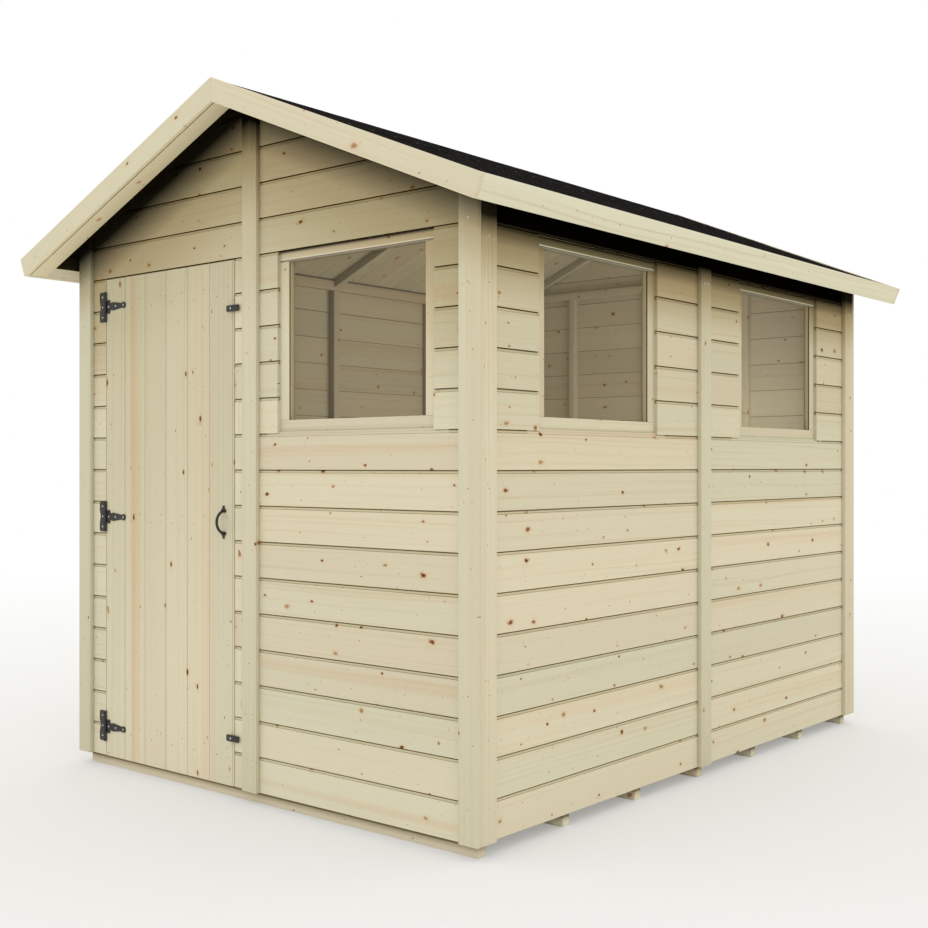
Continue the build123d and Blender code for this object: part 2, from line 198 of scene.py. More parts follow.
class Bench:
    """Hand tools for meshes: each is a few operators on the piece that lies on the bench."""

    MERGE = 0.02 * MM
    FLAT = math.radians(0.5)
    SMOOTH = math.radians(40)

    @staticmethod
    def take(*pieces: bpy.types.Object) -> None:
        """Selects only these pieces and makes the first one active."""
        bpy.ops.object.select_all(action="DESELECT")
        for piece in pieces:
            piece.select_set(True)
        bpy.context.view_layer.objects.active = pieces[0]

    @staticmethod
    @contextmanager
    def editing(piece: bpy.types.Object) -> Iterator[None]:
        """Keeps a piece in edit mode, with all of it selected at the start."""
        Bench.take(piece)
        bpy.ops.object.mode_set(mode="EDIT")
        bpy.ops.mesh.select_all(action="SELECT")
        yield
        bpy.ops.object.mode_set(mode="OBJECT")

    @staticmethod
    def pick_faces(piece: bpy.types.Object, test: Callable[[Vector, Vector], bool]) -> None:
        """Selects the faces that a test of centre and normal accepts; the piece is in edit mode."""
        bpy.ops.mesh.select_mode(type="FACE")
        bpy.ops.mesh.select_all(action="DESELECT")
        mesh = bmesh.from_edit_mesh(piece.data)
        for face in mesh.faces:
            face.select_set(test(face.calc_center_median(), face.normal))
        mesh.select_flush_mode()
        bmesh.update_edit_mesh(piece.data)

    @staticmethod
    def pick_edges(piece: bpy.types.Object, test: Callable[[Vector, Vector], bool]) -> None:
        """Selects the edges whose two ends a test accepts; the piece is in edit mode."""
        bpy.ops.mesh.select_mode(type="EDGE")
        bpy.ops.mesh.select_all(action="DESELECT")
        mesh = bmesh.from_edit_mesh(piece.data)
        for edge in mesh.edges:
            edge.select_set(test(edge.verts[0].co, edge.verts[1].co))
        bmesh.update_edit_mesh(piece.data)

    @staticmethod
    def place(piece: bpy.types.Object, matrix: Matrix) -> None:
        """Moves a piece by a matrix and writes the move into its mesh."""
        piece.matrix_world = matrix
        Bench.take(piece)
        bpy.ops.object.transform_apply(location=True, rotation=True, scale=True)

    @staticmethod
    def sheet(origin: Vector, first: Vector, second: Vector) -> bpy.types.Object:
        """Adds a flat rectangle from a corner along two edges."""
        bpy.ops.object.select_all(action="DESELECT")
        bpy.ops.mesh.primitive_plane_add(size=1)
        piece = bpy.context.object
        columns = Matrix((first, second, first.cross(second).normalized())).transposed().to_4x4()
        Bench.place(piece, Matrix.Translation(origin + (first + second) / 2) @ columns)
        return piece

    @staticmethod
    def copy_of(node: str) -> bpy.types.Object:
        """Copies a packed node with its points merged and its flat faces whole again."""
        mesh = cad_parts[node].data.copy()
        piece = bpy.data.objects.new(node, mesh)
        bpy.context.scene.collection.objects.link(piece)
        with Bench.editing(piece):
            bpy.ops.mesh.customdata_custom_splitnormals_clear()
            bpy.ops.mesh.remove_doubles(threshold=Bench.MERGE)
            bpy.ops.mesh.dissolve_limited(angle_limit=Bench.FLAT)
        return piece

    @staticmethod
    def cut(piece: bpy.types.Object, point: Vector, normal: Vector) -> None:
        """Saws off what lies beyond a plane and closes the cut."""
        with Bench.editing(piece):
            bpy.ops.mesh.bisect(plane_co=point, plane_no=normal, use_fill=True, clear_outer=True)

    @staticmethod
    def modify(piece: bpy.types.Object, kind: str, **settings: object) -> None:
        """Adds a modifier with its settings and applies it."""
        Bench.take(piece)
        bpy.ops.object.modifier_add(type=kind)
        modifier = piece.modifiers[-1]
        for name, value in settings.items():
            setattr(modifier, name, value)
        bpy.ops.object.modifier_apply(modifier=modifier.name)

    @staticmethod
    def ease(piece: bpy.types.Object, width: float, segments: int = 2, angle: float = 35) -> None:
        """Rounds the sharp edges of a piece and shades it smooth between them."""
        Bench.modify(piece, "BEVEL", width=width, segments=segments, limit_method="ANGLE",
                     angle_limit=math.radians(angle))
        bpy.ops.object.shade_smooth_by_angle(angle=math.radians(angle))

    @staticmethod
    def join(pieces: Sequence[bpy.types.Object]) -> bpy.types.Object:
        """Joins pieces into the first one."""
        Bench.take(*pieces)
        bpy.ops.object.join()
        return pieces[0]

    @staticmethod
    def repeat(piece: bpy.types.Object, places: Sequence[Matrix]) -> bpy.types.Object:
        """Joins copies of a small piece, one at each place, and discards the pattern piece."""
        copies = []
        for place in places:
            copy = bpy.data.objects.new(piece.name, piece.data.copy())
            bpy.context.scene.collection.objects.link(copy)
            copy.data.transform(place)
            copies.append(copy)
        bpy.data.objects.remove(piece)
        return Bench.join(copies)


class Grain:
    """Lays the grain of each board along it, in the attributes that the timber finish reads."""

    FRAME = "grain"
    TONE = "tone"
    SPREAD = 40.0
    LENGTH_DIGITS = 6
    AXIS_DIGITS = 5
    SPAN_DIGITS = 4

    @staticmethod
    def _axes(points: np.ndarray, edges: np.ndarray) -> np.ndarray:
        """Finds along, across and through of one board from its longest edge and its thinnest side."""
        along = edges[np.argmax(np.round((edges ** 2).sum(1), Grain.LENGTH_DIGITS))]
        along = np.round(along / np.linalg.norm(along), Grain.AXIS_DIGITS)
        along *= np.sign(along[np.argmax(np.abs(along))])
        square = np.eye(3)[np.argmin(np.abs(along))]
        first = np.cross(square, along)
        first /= np.linalg.norm(first)
        second = np.cross(along, first)
        spans = [round(np.ptp(points @ axis), Grain.SPAN_DIGITS) for axis in (first, second)]
        across, through = (first, second) if spans[0] >= spans[1] else (second, first)
        return np.stack([along, across, through])

    @staticmethod
    def lay(piece: bpy.types.Object, name: str) -> None:
        """Gives every board of a piece its own grain frame, offset and tone.

        Args:
            piece: Mesh of one or more boards.
            name: Seeds the draw, so that each piece keeps its pattern.
        """
        mesh = piece.data
        draw = np.random.default_rng(zlib.crc32(name.encode()))
        points, ends, label = Solids.of_mesh(mesh)
        spans = points[ends[:, 1]] - points[ends[:, 0]]
        grain = np.empty_like(points)
        tone = np.empty(len(points))
        boards = [label == k for k in range(label.max() + 1)]
        boards.sort(key=lambda own: (*points[own].min(0), *points[own].max(0)))
        for own in boards:
            axes = Grain._axes(points[own], spans[own[ends[:, 0]]])
            grain[own] = points[own] @ axes.T + draw.uniform(-Grain.SPREAD, Grain.SPREAD, 3)
            tone[own] = draw.uniform()
        mesh.attributes.new(Grain.FRAME, "FLOAT_VECTOR", "POINT").data.foreach_set("vector", grain.ravel())
        mesh.attributes.new(Grain.TONE, "FLOAT", "POINT").data.foreach_set("value", tone)


def summed(operation: str, meaning: str, swapped: bool = False) -> Callable[..., "Socket"]:
    """Makes a method of sockets that adds one Math node.

    Args:
        operation: Operation of the node.
        meaning: What the method does.
        swapped: Whether the socket itself is the second value.

    Returns:
        The method.
    """
    def method(self: "Socket", *others: "Socket | float") -> "Socket":
        """Adds the node."""
        values = (*others, self) if swapped else (self, *others)
        return self.tree.node("ShaderNodeMath", 0, dict(enumerate(values)), operation=operation)

    method.__doc__ = meaning
    return method


class Socket:
    """A node's output that takes part in Python sums; each sum adds its Math nodes."""

    def __init__(self, tree: "Tree", socket: bpy.types.NodeSocket) -> None:
        """Keeps the output and the tree it belongs to."""
        self.tree = tree
        self.socket = socket

    __add__ = summed("ADD", "Adds.")
    __radd__ = summed("ADD", "Adds to a number.", swapped=True)
    __sub__ = summed("SUBTRACT", "Takes away.")
    __rsub__ = summed("SUBTRACT", "Takes away from a number.", swapped=True)
    __mul__ = summed("MULTIPLY", "Multiplies.")
    __rmul__ = summed("MULTIPLY", "Multiplies a number.", swapped=True)
    __truediv__ = summed("DIVIDE", "Divides.")
    __pow__ = summed("POWER", "Raises to a power.")
    __lt__ = summed("LESS_THAN", "Gives 1 where this is less, else 0.")
    __gt__ = summed("GREATER_THAN", "Gives 1 where this is more, else 0.")
    __abs__ = summed("ABSOLUTE", "Drops the sign.")
    fraction = summed("FRACT", "Keeps what is left over after whole numbers.")

    def clamp(self) -> "Socket":
        """Limits to 0 and 1."""
        return self.tree.node("ShaderNodeClamp", 0, {0: self})

    def within(self, low: float, high: float) -> "Socket":
        """Gives 1 between two limits, else 0."""
        return (self > low) * (self < high)

    def ramp(self, low: float, high: float) -> "Socket":
        """Rises smoothly from 0 at low to 1 at high; low may be the larger."""
        return self.tree.node("ShaderNodeMapRange", 0, {0: self, 1: low, 2: high},
                              interpolation_type="SMOOTHSTEP")


class Tree:
    """The node tree of a material or a world, with one method that makes nodes."""

    MIX_FIRST, MIX_SECOND = 6, 7

    def __init__(self, owner: bpy.types.Material | bpy.types.World) -> None:
        """Starts with an empty tree."""
        owner.use_nodes = True
        self.nodes = owner.node_tree.nodes
        self.links = owner.node_tree.links
        self.nodes.clear()

    def node(self, kind: str, output: int | str, inputs: dict, **settings: object) -> Socket:
        """Makes a node.

        Args:
            kind: Type of the node.
            output: Number or name of the output to give back.
            inputs: Values or sockets by the number or name of the input.
            settings: Choices of the node, set before its inputs.

        Returns:
            The output.
        """
        made = self.nodes.new(kind)
        for name, value in settings.items():
            setattr(made, name, value)
        for key, value in inputs.items():
            entry = made.inputs[key]
            if isinstance(value, Socket):
                self.links.new(value.socket, entry)
            elif entry.type == "RGBA" and len(value) == 3:
                entry.default_value = (*value, 1)
            else:
                entry.default_value = value
        return Socket(self, made.outputs[output]) if made.outputs else None

    def blend(self, share: Socket | float, first: Socket | Colour, second: Socket | Colour,
              mode: str = "MIX") -> Socket:
        """Mixes two colours by a share of the second."""
        return self.node("ShaderNodeMix", 2, {0: share, self.MIX_FIRST: first, self.MIX_SECOND: second},
                         data_type="RGBA", blend_type=mode)

    def multiply(self, share: Socket | float, colour: Socket | Colour, other: Socket | Colour) -> Socket:
        """Multiplies a colour by another one, by a share."""
        return self.blend(share, colour, other, "MULTIPLY")

    def vector(self, x: Socket | float, y: Socket | float, z: Socket | float) -> Socket:
        """Joins three values into a vector."""
        return self.node("ShaderNodeCombineXYZ", 0, {0: x, 1: y, 2: z})

    def parts(self, vector: Socket) -> list[Socket]:
        """Splits a vector into its three values."""
        first = self.node("ShaderNodeSeparateXYZ", 0, {0: vector})
        return [Socket(self, out) for out in first.socket.node.outputs]

    def noise(self, vector: Socket, scale: float = 1, detail: float = 2, rough: float = 0.5) -> Socket:
        """Smooth noise between 0 and 1 over a vector."""
        return self.node("ShaderNodeTexNoise", "Fac",
                         {"Vector": vector, "Scale": scale, "Detail": detail, "Roughness": rough})

    def cells(self, vector: Socket, scale: float) -> tuple[Socket, list[Socket]]:
        """Scattered points in two dimensions: distance to the nearest one, and its random values."""
        distance = self.node("ShaderNodeTexVoronoi", "Distance", {"Vector": vector, "Scale": scale},
                             voronoi_dimensions="2D")
        random = self.parts(Socket(self, distance.socket.node.outputs["Color"]))
        return distance / scale, random

    def grey(self, value: Socket) -> Socket:
        """Colour with one value in all its parts."""
        return self.vector(value, value, value)

    def seen(self) -> tuple[Socket, Socket]:
        """Tells the rays that come straight from the camera, and those by way of a gloss or a pane."""
        camera = self.node("ShaderNodeLightPath", "Is Camera Ray", {})
        glossy, passed = (Socket(self, camera.socket.node.outputs[f"Is {kind} Ray"])
                          for kind in ("Glossy", "Transmission"))
        return camera, (glossy + passed).clamp()

    def place(self) -> Socket:
        """Place on the piece in metres."""
        return self.node("ShaderNodeTexCoord", "Object", {})

    def bump(self, height: Socket, depth: float, strength: float) -> Socket:
        """Normal that follows a height; depth is in metres."""
        return self.node("ShaderNodeBump", 0, {"Height": height, "Distance": depth, "Strength": strength})

    def surface(self, **inputs: object) -> Socket:
        """Makes the surface shader; names use _ for spaces."""
        return self.node("ShaderNodeBsdfPrincipled", 0,
                         {name.replace("_", " "): value for name, value in inputs.items()})

    def finish(self, shader: Socket, kind: str = "ShaderNodeOutputMaterial") -> None:
        """Sends a shader to the tree's output."""
        self.node(kind, 0, {"Surface": shader})


class Finish:
    """A finish that makes its material once."""

    name: str

    def dress(self, tree: Tree) -> None:
        """Builds the nodes of the finish."""
        raise NotImplementedError

    @cached_property
    def material(self) -> bpy.types.Material:
        """The material of the finish."""
        made = bpy.data.materials.new(self.name)
        self.dress(Tree(made))
        return made


@dataclass(frozen=True)
class Streaks:
    """Noise drawn out along the grain, by its fineness in the three directions of a board."""

    along: float
    across: float
    through: float
    detail: float = 2
    rough: float = 0.5
    shift: float = 0.0

    def noise(self, tree: Tree, along: Socket, across: Socket, through: Socket) -> Socket:
        """Noise at a place on the board."""
        place = tree.vector(along * self.along + self.shift, across * self.across, through * self.through)
        return tree.noise(place, 1, self.detail, self.rough)


@dataclass(frozen=True)
class Knots:
    """Knots in a board's face; sizes within a knot are shares of its radius."""

    pitch: float = 0.082
    share: float = 0.50
    radius: tuple[float, float] = (0.0018, 0.0080)
    stretch: float = 0.66
    fray: float = 0.0022
    lump_base: float = 0.15
    lump_spread: float = 1.7
    rim_edge: float = 0.35
    core_size: float = 0.72
    core_edge: float = 0.45
    halo_size: float = 2.6

    def grow(self, tree: Tree, grain: Socket, ragged: Socket) -> tuple[Socket, Socket, Socket, Socket]:
        """Grows the knots.

        Args:
            tree: Tree of the material.
            grain: Place in the directions of the board.
            ragged: Fine noise about 0.

        Returns:
            The shares of rim, core and halo, and a random value of the knot.
        """
        along, across, _ = tree.parts(grain)
        distance, random = tree.cells(tree.vector(along * self.stretch, across, 0), 1 / self.pitch)
        small, large = self.radius
        radius = small + (large - small) * random[1] * random[1]
        present = random[0] < self.share
        lump = tree.noise(grain, scale=62, detail=1) * self.lump_spread + self.lump_base
        edge = distance * lump + ragged * self.fray
        rim = ((radius - edge) / (radius * self.rim_edge)).clamp() * present
        core = ((radius * self.core_size - edge) / (radius * self.core_edge)).clamp() * present
        halo = (1 - edge / (radius * self.halo_size)).clamp() * present
        return rim, core, halo, random[2]


@dataclass(frozen=True)
class PinKnots:
    """Small dark dots in a board's face."""

    pitch: float = 0.050
    share: float = 0.30
    radius: float = 0.0012
    spread: float = 0.0008
    fray: float = 0.001
    edge: float = 0.0009
    stretch: float = 0.85
    shift: tuple[float, float] = (7.3, 3.1)

    def grow(self, tree: Tree, along: Socket, across: Socket, ragged: Socket) -> Socket:
        """Share of the dots at a place on the board."""
        face = tree.vector(along * self.stretch + self.shift[0], across + self.shift[1], 0)
        distance, random = tree.cells(face, 1 / self.pitch)
        dot = ((self.radius + self.spread * random[1] - distance - ragged * self.fray) / self.edge).clamp()
        return dot * (random[0] < self.share)


@dataclass(frozen=True)
class Pith:
    """Thin lines of pith that come and go along a board."""

    pitch: float = 0.46
    wander: float = 0.5
    line: tuple[float, float] = (0.0022, 0.0004)
    change: float = 1.6
    row: float = 5.2
    limits: tuple[float, float] = (0.46, 0.62)

    def grow(self, tree: Tree, along: Socket, across: Socket, drift: Socket) -> Socket:
        """Share of the lines at a place on the board."""
        distance = abs((across / self.pitch + drift * self.wander).fraction() - 0.5) * self.pitch
        here = tree.noise(tree.vector(along * self.change, self.row, 0)).ramp(*self.limits)
        return distance.ramp(*self.line) * here


@dataclass(frozen=True)
class TimberFinish(Finish):
    """Planed pale softwood with small red-brown knots, faint growth rings and a green tinge."""

    name: str = "planed_softwood"
    green_cream: Colour = (0.632, 0.606, 0.440)
    pink_cream: Colour = (0.655, 0.578, 0.422)
    late_wood: Colour = (0.545, 0.440, 0.265)
    heart_wood: Colour = (0.620, 0.440, 0.270)
    knot_halo: Colour = (0.560, 0.350, 0.160)
    knot_rim: Colour = (0.325, 0.140, 0.050)
    knot_core: Colour = (0.092, 0.040, 0.020)
    pin_knot: Colour = (0.110, 0.060, 0.030)
    knots: Knots = Knots()
    pins: PinKnots = PinKnots()
    pith: Pith = Pith()
    drift: Streaks = Streaks(0.8, 3, 3, detail=1)
    rings: Streaks = Streaks(0.35, 85, 40, detail=3, rough=0.62)
    fibre: Streaks = Streaks(9, 900, 900)
    broad: Streaks = Streaks(0.3, 11, 9)
    heart: Streaks = Streaks(0.16, 15, 6, detail=1, shift=11.0)
    drift_reach: float = 0.05
    knot_push: float = 0.006
    pink_by_tone: float = 0.75
    pink_by_streak: float = 0.9
    pink_start: float = 0.32
    ring_limits: tuple[float, float] = (0.50, 0.78)
    ring_share: float = 0.55
    heart_limits: tuple[float, float] = (0.60, 0.76)
    heart_share: float = 0.32
    pith_share: float = 0.38
    tone_fold: float = 7.31
    shade: float = 0.86
    shade_by_tone: float = 0.10
    shade_by_fibre: float = 0.08
    halo_share: float = 0.85
    rim_share: float = 0.62
    rim_spread: float = 0.33
    core_limits: tuple[float, float] = (0.25, 0.6)
    pin_share: float = 0.85
    relief_shares: tuple[float, float, float] = (0.35, 0.5, 0.3)
    roughness: float = 0.62
    fibre_roughness: float = 0.08
    core_polish: float = 0.12

    def tint(self, tree: Tree, colour: Socket) -> Socket:
        """Leaves plain boards as they are."""
        return colour

    def dress(self, tree: Tree) -> None:
        """Builds the wood from the grain attributes: rings, streaks, knots, pin knots and pith lines."""
        grain = tree.node("ShaderNodeAttribute", "Vector", {}, attribute_name=Grain.FRAME)
        tone = tree.node("ShaderNodeAttribute", "Fac", {}, attribute_name=Grain.TONE)
        along, across, through = tree.parts(grain)
        ragged = tree.noise(grain, scale=160) - 0.5
        rim, core, halo, knot_tone = self.knots.grow(tree, grain, ragged)
        pin = self.pins.grow(tree, along, across, ragged)
        drift = self.drift.noise(tree, along, across, through) * self.drift_reach
        pith = self.pith.grow(tree, along, across, drift)
        rings = self.rings.noise(tree, along, across + drift + halo * self.knot_push, through)
        fibre, broad, heart = (streaks.noise(tree, along, across, through)
                               for streaks in (self.fibre, self.broad, self.heart))

        pink = (tone * self.pink_by_tone + broad * self.pink_by_streak - self.pink_start).clamp()
        colour = tree.blend(pink, self.green_cream, self.pink_cream)
        colour = tree.blend(rings.ramp(*self.ring_limits) * self.ring_share, colour, self.late_wood)
        colour = tree.blend(heart.ramp(*self.heart_limits) * self.heart_share, colour, self.heart_wood)
        colour = tree.blend(pith * self.pith_share, colour, self.heart_wood)
        own = (tone * self.tone_fold).fraction()
        shade = own * self.shade_by_tone + fibre * self.shade_by_fibre + self.shade
        colour = tree.multiply(1.0, colour, tree.grey(shade))
        colour = tree.blend(halo * halo * self.halo_share, colour, self.knot_halo)
        colour = tree.blend(rim * (self.rim_share + knot_tone * self.rim_spread), colour, self.knot_rim)
        colour = tree.blend(core * knot_tone.ramp(*self.core_limits), colour, self.knot_core)
        colour = tree.blend(pin * self.pin_share, colour, self.pin_knot)
        by_fibre, by_rings, by_core = self.relief_shares
        relief = fibre * by_fibre + rings * by_rings + core * by_core
        roughness = self.roughness + fibre * self.fibre_roughness - core * self.core_polish
        tree.finish(tree.surface(Base_Color=self.tint(tree, colour), Roughness=roughness,
                                 Specular_IOR_Level=0.0,
                                 Normal=tree.bump(relief, depth=0.35 * MM, strength=0.35)))


@dataclass(frozen=True)
class Shelter:
    """How timber darkens under the roof's overhang, by its drop below the roof boards.

    It acts where the distances from the shed's two middle planes lie within spans. Light comes back evenly
    between two drops, and with a warm tint in steps of a share between two drops.
    """

    across: tuple[float, float]
    length: tuple[float, float]
    dull: float
    steps: tuple[tuple[float, float, float], ...]
    black: float = 0.0
    dim: float = 1.0
    darkest: float = 1.0
    above: float = 0.0

    def light(self, drop: Socket, x: Socket, y: Socket, z: Socket) -> tuple[Socket, Socket]:
        """Even and warm shares of light at a place; x and y are distances from the middle planes."""
        even = ((drop - self.black) / (self.dim - self.black)).clamp() * (1 - self.darkest) + self.darkest
        warm = self.dull
        for share, start, end in self.steps:
            warm = warm + drop.ramp(start, end) * share
        here = x.within(*self.across) * y.within(*self.length) * (z > self.above)
        return 1 - here * (1 - even), 1 - here * (1 - warm)


@dataclass(frozen=True)
class Crevice:
    """A dark joint between two depths behind a face."""

    start: float
    end: float
    tint: Colour


@dataclass(frozen=True)
class ShelteredFinish(TimberFinish):
    """The same softwood, dull and at last black close under the roof."""

    name: str = "sheltered_softwood"
    peak: float = 0.0
    slope: float = 0.0
    shelters: tuple[Shelter, ...] = ()
    faces: tuple[float, ...] = ()
    crevices: tuple[Crevice, ...] = ()
    # Powers on green and blue that make the painted shade warmer where it is deeper.
    warmth: Colour = (1.0, 1.25, 1.8)

    def jointed(self, x: Socket, y: Socket, z: Socket) -> Socket | float:
        """Share of the crevices that shows at a place: all of them."""
        return 1.0

    def cover(self, z: Socket) -> Socket | float:
        """Share of light that comes past whatever lies on top: all of it."""
        return 1.0

    def tint(self, tree: Tree, colour: Socket) -> Socket:
        """Darkens the crevices, and the wood where little light comes."""
        x, y, z = tree.parts(tree.place())
        drop = self.peak - abs(x) * self.slope - z
        even, warm = self.cover(z), 1.0
        for shelter in self.shelters:
            shelter_even, shelter_warm = shelter.light(drop, abs(x), abs(y), z)
            even, warm = shelter_even * even, shelter_warm * warm
        # Painted shade of the shelters, warmer where deeper.
        colour = tree.multiply(1.0, colour, tree.vector(*(even * warm ** power for power in self.warmth)))
        jointed = self.jointed(x, y, z)
        # Painted shade in the crevices behind each face.
        for face, distance in zip(self.faces, (abs(x), abs(y))):
            behind = face - distance
            for crevice in self.crevices:
                inside = behind.within(crevice.start, crevice.end) * jointed
                colour = tree.multiply(inside, colour, crevice.tint)
        return colour


@dataclass(frozen=True)
class BoardsFinish(ShelteredFinish):
    """Wall boards: sheltered softwood with brown joints, which are open to the light under the windows."""

    name: str = "wall_softwood"
    foot: float = 0.0
    course: float = 1.0
    joint: tuple[float, float] = (0.022, 0.902)
    foot_share: float = 0.008
    start: float = 0.002
    # Painted shade on the lower edge of each board.
    foot_shade: Colour = (0.20, 0.16, 0.10)
    # Boxes under the sills where the joints get no painted shade.
    bright: tuple[Box, ...] = ()

    def tint(self, tree: Tree, colour: Socket) -> Socket:
        """Darkens the lower edge of each board too, which looks down into the joint."""
        x, y, z = tree.parts(tree.place())
        colour = super().tint(tree, colour)
        low = (self.level(z) < self.foot_share) * self.jointed(x, y, z)
        return tree.multiply(low, colour, self.foot_shade)

    def level(self, z: Socket) -> Socket:
        """Height in a board as a share of the course, from just below its lower edge."""
        return ((z - self.foot) / self.course + self.start).fraction()

    def jointed(self, x: Socket, y: Socket, z: Socket) -> Socket:
        """Share of the crevices that shows: at the foot and top of each board, but not in bright boxes."""
        level = self.level(z)
        share = (level < self.joint[0]) + (level > self.joint[1])
        for low, high in self.bright:
            here = x.within(low.x, high.x) * y.within(low.y, high.y) * z.within(low.z, high.z)
            share = share * (1 - here)
        return share


@dataclass(frozen=True)
class WindowFinish(ShelteredFinish):
    """Window frames: sheltered softwood with a dark joint round the glazing and a dark gap over the heads."""

    name: str = "window_softwood"
    head_top: float = 0.0
    # Painted shadow in the gap over the heads: black down to the first depth below their top, gone at the
    # second.
    gap: tuple[float, float] = (1.0 * MM, 10.0 * MM)
    # Painted shadow line along the heads' lower edge, and painted shade below it.
    seam: tuple[float, float] = (0.0, 0.0)
    seam_light: float = 0.3
    under_light: float = 0.5

    def cover(self, z: Socket) -> Socket:
        """Share of light in the gap over the heads, in the seam along their lower edge and below it."""
        gap = ((self.head_top - z - self.gap[0]) / (self.gap[1] - self.gap[0])).clamp()
        seam = z.within(*self.seam) * (1 - self.seam_light)
        return gap * (1 - seam - (z < self.seam[0]) * (1 - self.under_light))


@dataclass(frozen=True)
class SoffitFinish(TimberFinish):
    """Roof boards: the same softwood, grimed where they reach past the walls."""

    name: str = "roof_softwood"
    ring_share: float = 0.95
    wall_reach: tuple[float, float] = (0.90, 1.205)
    # Painted shade of the soffit outside the walls.
    soffit_shade: Colour = (0.016, 0.013, 0.008)

    def tint(self, tree: Tree, colour: Socket) -> Socket:
        """Darkens the boards outside the walls."""
        x, y, _ = tree.parts(tree.place())
        outside = (abs(x) > self.wall_reach[0]) + (abs(y) > self.wall_reach[1])
        return tree.multiply(outside.clamp(), colour, self.soffit_shade)


@dataclass(frozen=True)
class FramingFinish(TimberFinish):
    """Framing inside: the same softwood, dark on the sides that look to the front."""

    name: str = "framing_softwood"
    sides: tuple[float, ...] = ()
    side_depth: float = 0.7 * MM
    # Painted shade on the sides that look to the front.
    side_shade: Colour = (0.62, 0.60, 0.58)

    def tint(self, tree: Tree, colour: Socket) -> Socket:
        """Darkens a thin layer behind each side."""
        y = tree.parts(tree.place())[1]
        for side in self.sides:
            layer = y.within(side - self.side_depth, side + self.side_depth)
            colour = tree.multiply(layer, colour, self.side_shade)
        return colour


@dataclass(frozen=True)
class BearerFinish(TimberFinish):
    """Floor bearers: the same softwood, dark right under the wall boards and paler at the ground."""

    name: str = "bearer_softwood"
    # Painted shade under the wall boards, lifted in steps into painted light near the ground, warmer where
    # darker.
    darkest: float = 0.34
    steps: tuple[tuple[float, float, float], ...] = ((0.44, 0.0295, 0.025), (0.35, 0.027, 0.009))
    warmth: Colour = (1.0, 1.1, 1.4)

    def tint(self, tree: Tree, colour: Socket) -> Socket:
        """Lets the light come back downwards, in steps of a share between two heights."""
        z = tree.parts(tree.place())[2]
        light = self.darkest
        for share, start, end in self.steps:
            light = z.ramp(start, end) * share + light
        return tree.multiply(1.0, colour, tree.vector(*(light ** power for power in self.warmth)))


@dataclass(frozen=True)
class VergeFinish(FramingFinish):
    """Rafters: framing that is paler outside the walls, with a dark joint at the barge boards."""

    name: str = "rafter_softwood"
    outside: float = 1.0
    joint_start: float = 1.0
    # Painted light on the rafters outside the walls, and a painted shadow line at the joint with the barge
    # boards.
    pale: Colour = (1.18, 1.16, 1.12)
    joint_shadow: Colour = (0.06, 0.045, 0.025)

    def tint(self, tree: Tree, colour: Socket) -> Socket:
        """Lightens the outer rafters and darkens their joint and the sides of the inner ones."""
        colour = super().tint(tree, colour)
        distance = abs(tree.parts(tree.place())[1])
        colour = tree.multiply(distance > self.outside, colour, self.pale)
        return tree.multiply(distance > self.joint_start, colour, self.joint_shadow)


@dataclass(frozen=True)
class EdgeFinish(TimberFinish):
    """Softwood with one edge in another tint, told by its place in the section of the roof."""

    name: str = "edge_softwood"
    axis: tuple[float, float] = (0.0, 0.0)
    top: float = 0.0
    limit: float = 0.0
    edge: Colour = (1.0, 1.0, 1.0)

    def tint(self, tree: Tree, colour: Socket) -> Socket:
        """Tints what lies past the limit along the axis; the axis runs outwards and down."""
        x, _, z = tree.parts(tree.place())
        past = abs(x) * self.axis[0] + (self.top - z) * self.axis[1] > self.limit
        return tree.multiply(past, colour, self.edge)


@dataclass(frozen=True)
class FeltFinish(Finish):
    """Black mineral roofing felt with grit on its face."""

    name: str = "mineral_felt"
    bitumen: Colour = (0.0045, 0.0042, 0.0040)
    grit: Colour = (0.058, 0.055, 0.052)
    grit_size: float = 0.0034
    grit_power: float = 5
    grit_share: float = 0.75
    mottle_start: float = 0.42
    mottle_share: float = 0.30
    patch_start: float = 0.45
    patch_share: float = 0.28
    roughness: float = 0.88
    roughness_spread: float = 0.1
    pitch: float = 0.0
    top: float = 0.0
    lap: float = 0.0
    # Painted shadow below the lap of the ridge sheet: its reach, tint and share.
    lap_shade: float = 9 * MM
    lap_shadow: Colour = (0.2, 0.2, 0.2)
    lap_share: float = 0.85
    lap_edge: float = 5 * MM
    lap_wear: float = 0.30
    ridge: float = 7 * MM
    ridge_wear: float = 0.25

    def wear_and_lap_shadow(self, tree: Tree, colour: Socket) -> Socket:
        """Darkens the felt just below the lap, and thins the bitumen on the lap's edge and the ridge."""
        x, _, z = tree.parts(tree.place())
        past = abs(x) * math.cos(self.pitch) + (self.top - z) * math.sin(self.pitch) - self.lap
        shade = (past > 0) * past.ramp(self.lap_shade, 0) * self.lap_share
        worn = past.within(-self.lap_edge, 0) * self.lap_wear + abs(x).ramp(self.ridge, 0) * self.ridge_wear
        return tree.blend(worn, tree.multiply(shade, colour, self.lap_shadow), self.grit)

    def dress(self, tree: Tree) -> None:
        """Builds the grit as small cells of many greys, thinner in patches."""
        place = tree.place()
        cell = tree.node("ShaderNodeTexVoronoi", "Distance", {"Vector": place, "Scale": 1 / self.grit_size})
        random = tree.parts(Socket(tree, cell.socket.node.outputs["Color"]))[0]
        mottle = tree.noise(place, scale=14, detail=4, rough=0.62)
        patch = tree.noise(place, scale=110, detail=3, rough=0.6)
        share = random ** self.grit_power * self.grit_share + (mottle - self.mottle_start) * self.mottle_share
        share = share + (patch - self.patch_start) * self.patch_share
        colour = self.wear_and_lap_shadow(tree, tree.blend(share.clamp(), self.bitumen, self.grit))
        tree.finish(tree.surface(Base_Color=colour, Roughness=self.roughness + random * self.roughness_spread,
                                 Specular_IOR_Level=0.0,
                                 Normal=tree.bump(1 - cell + mottle, depth=0.8 * MM, strength=0.7)))


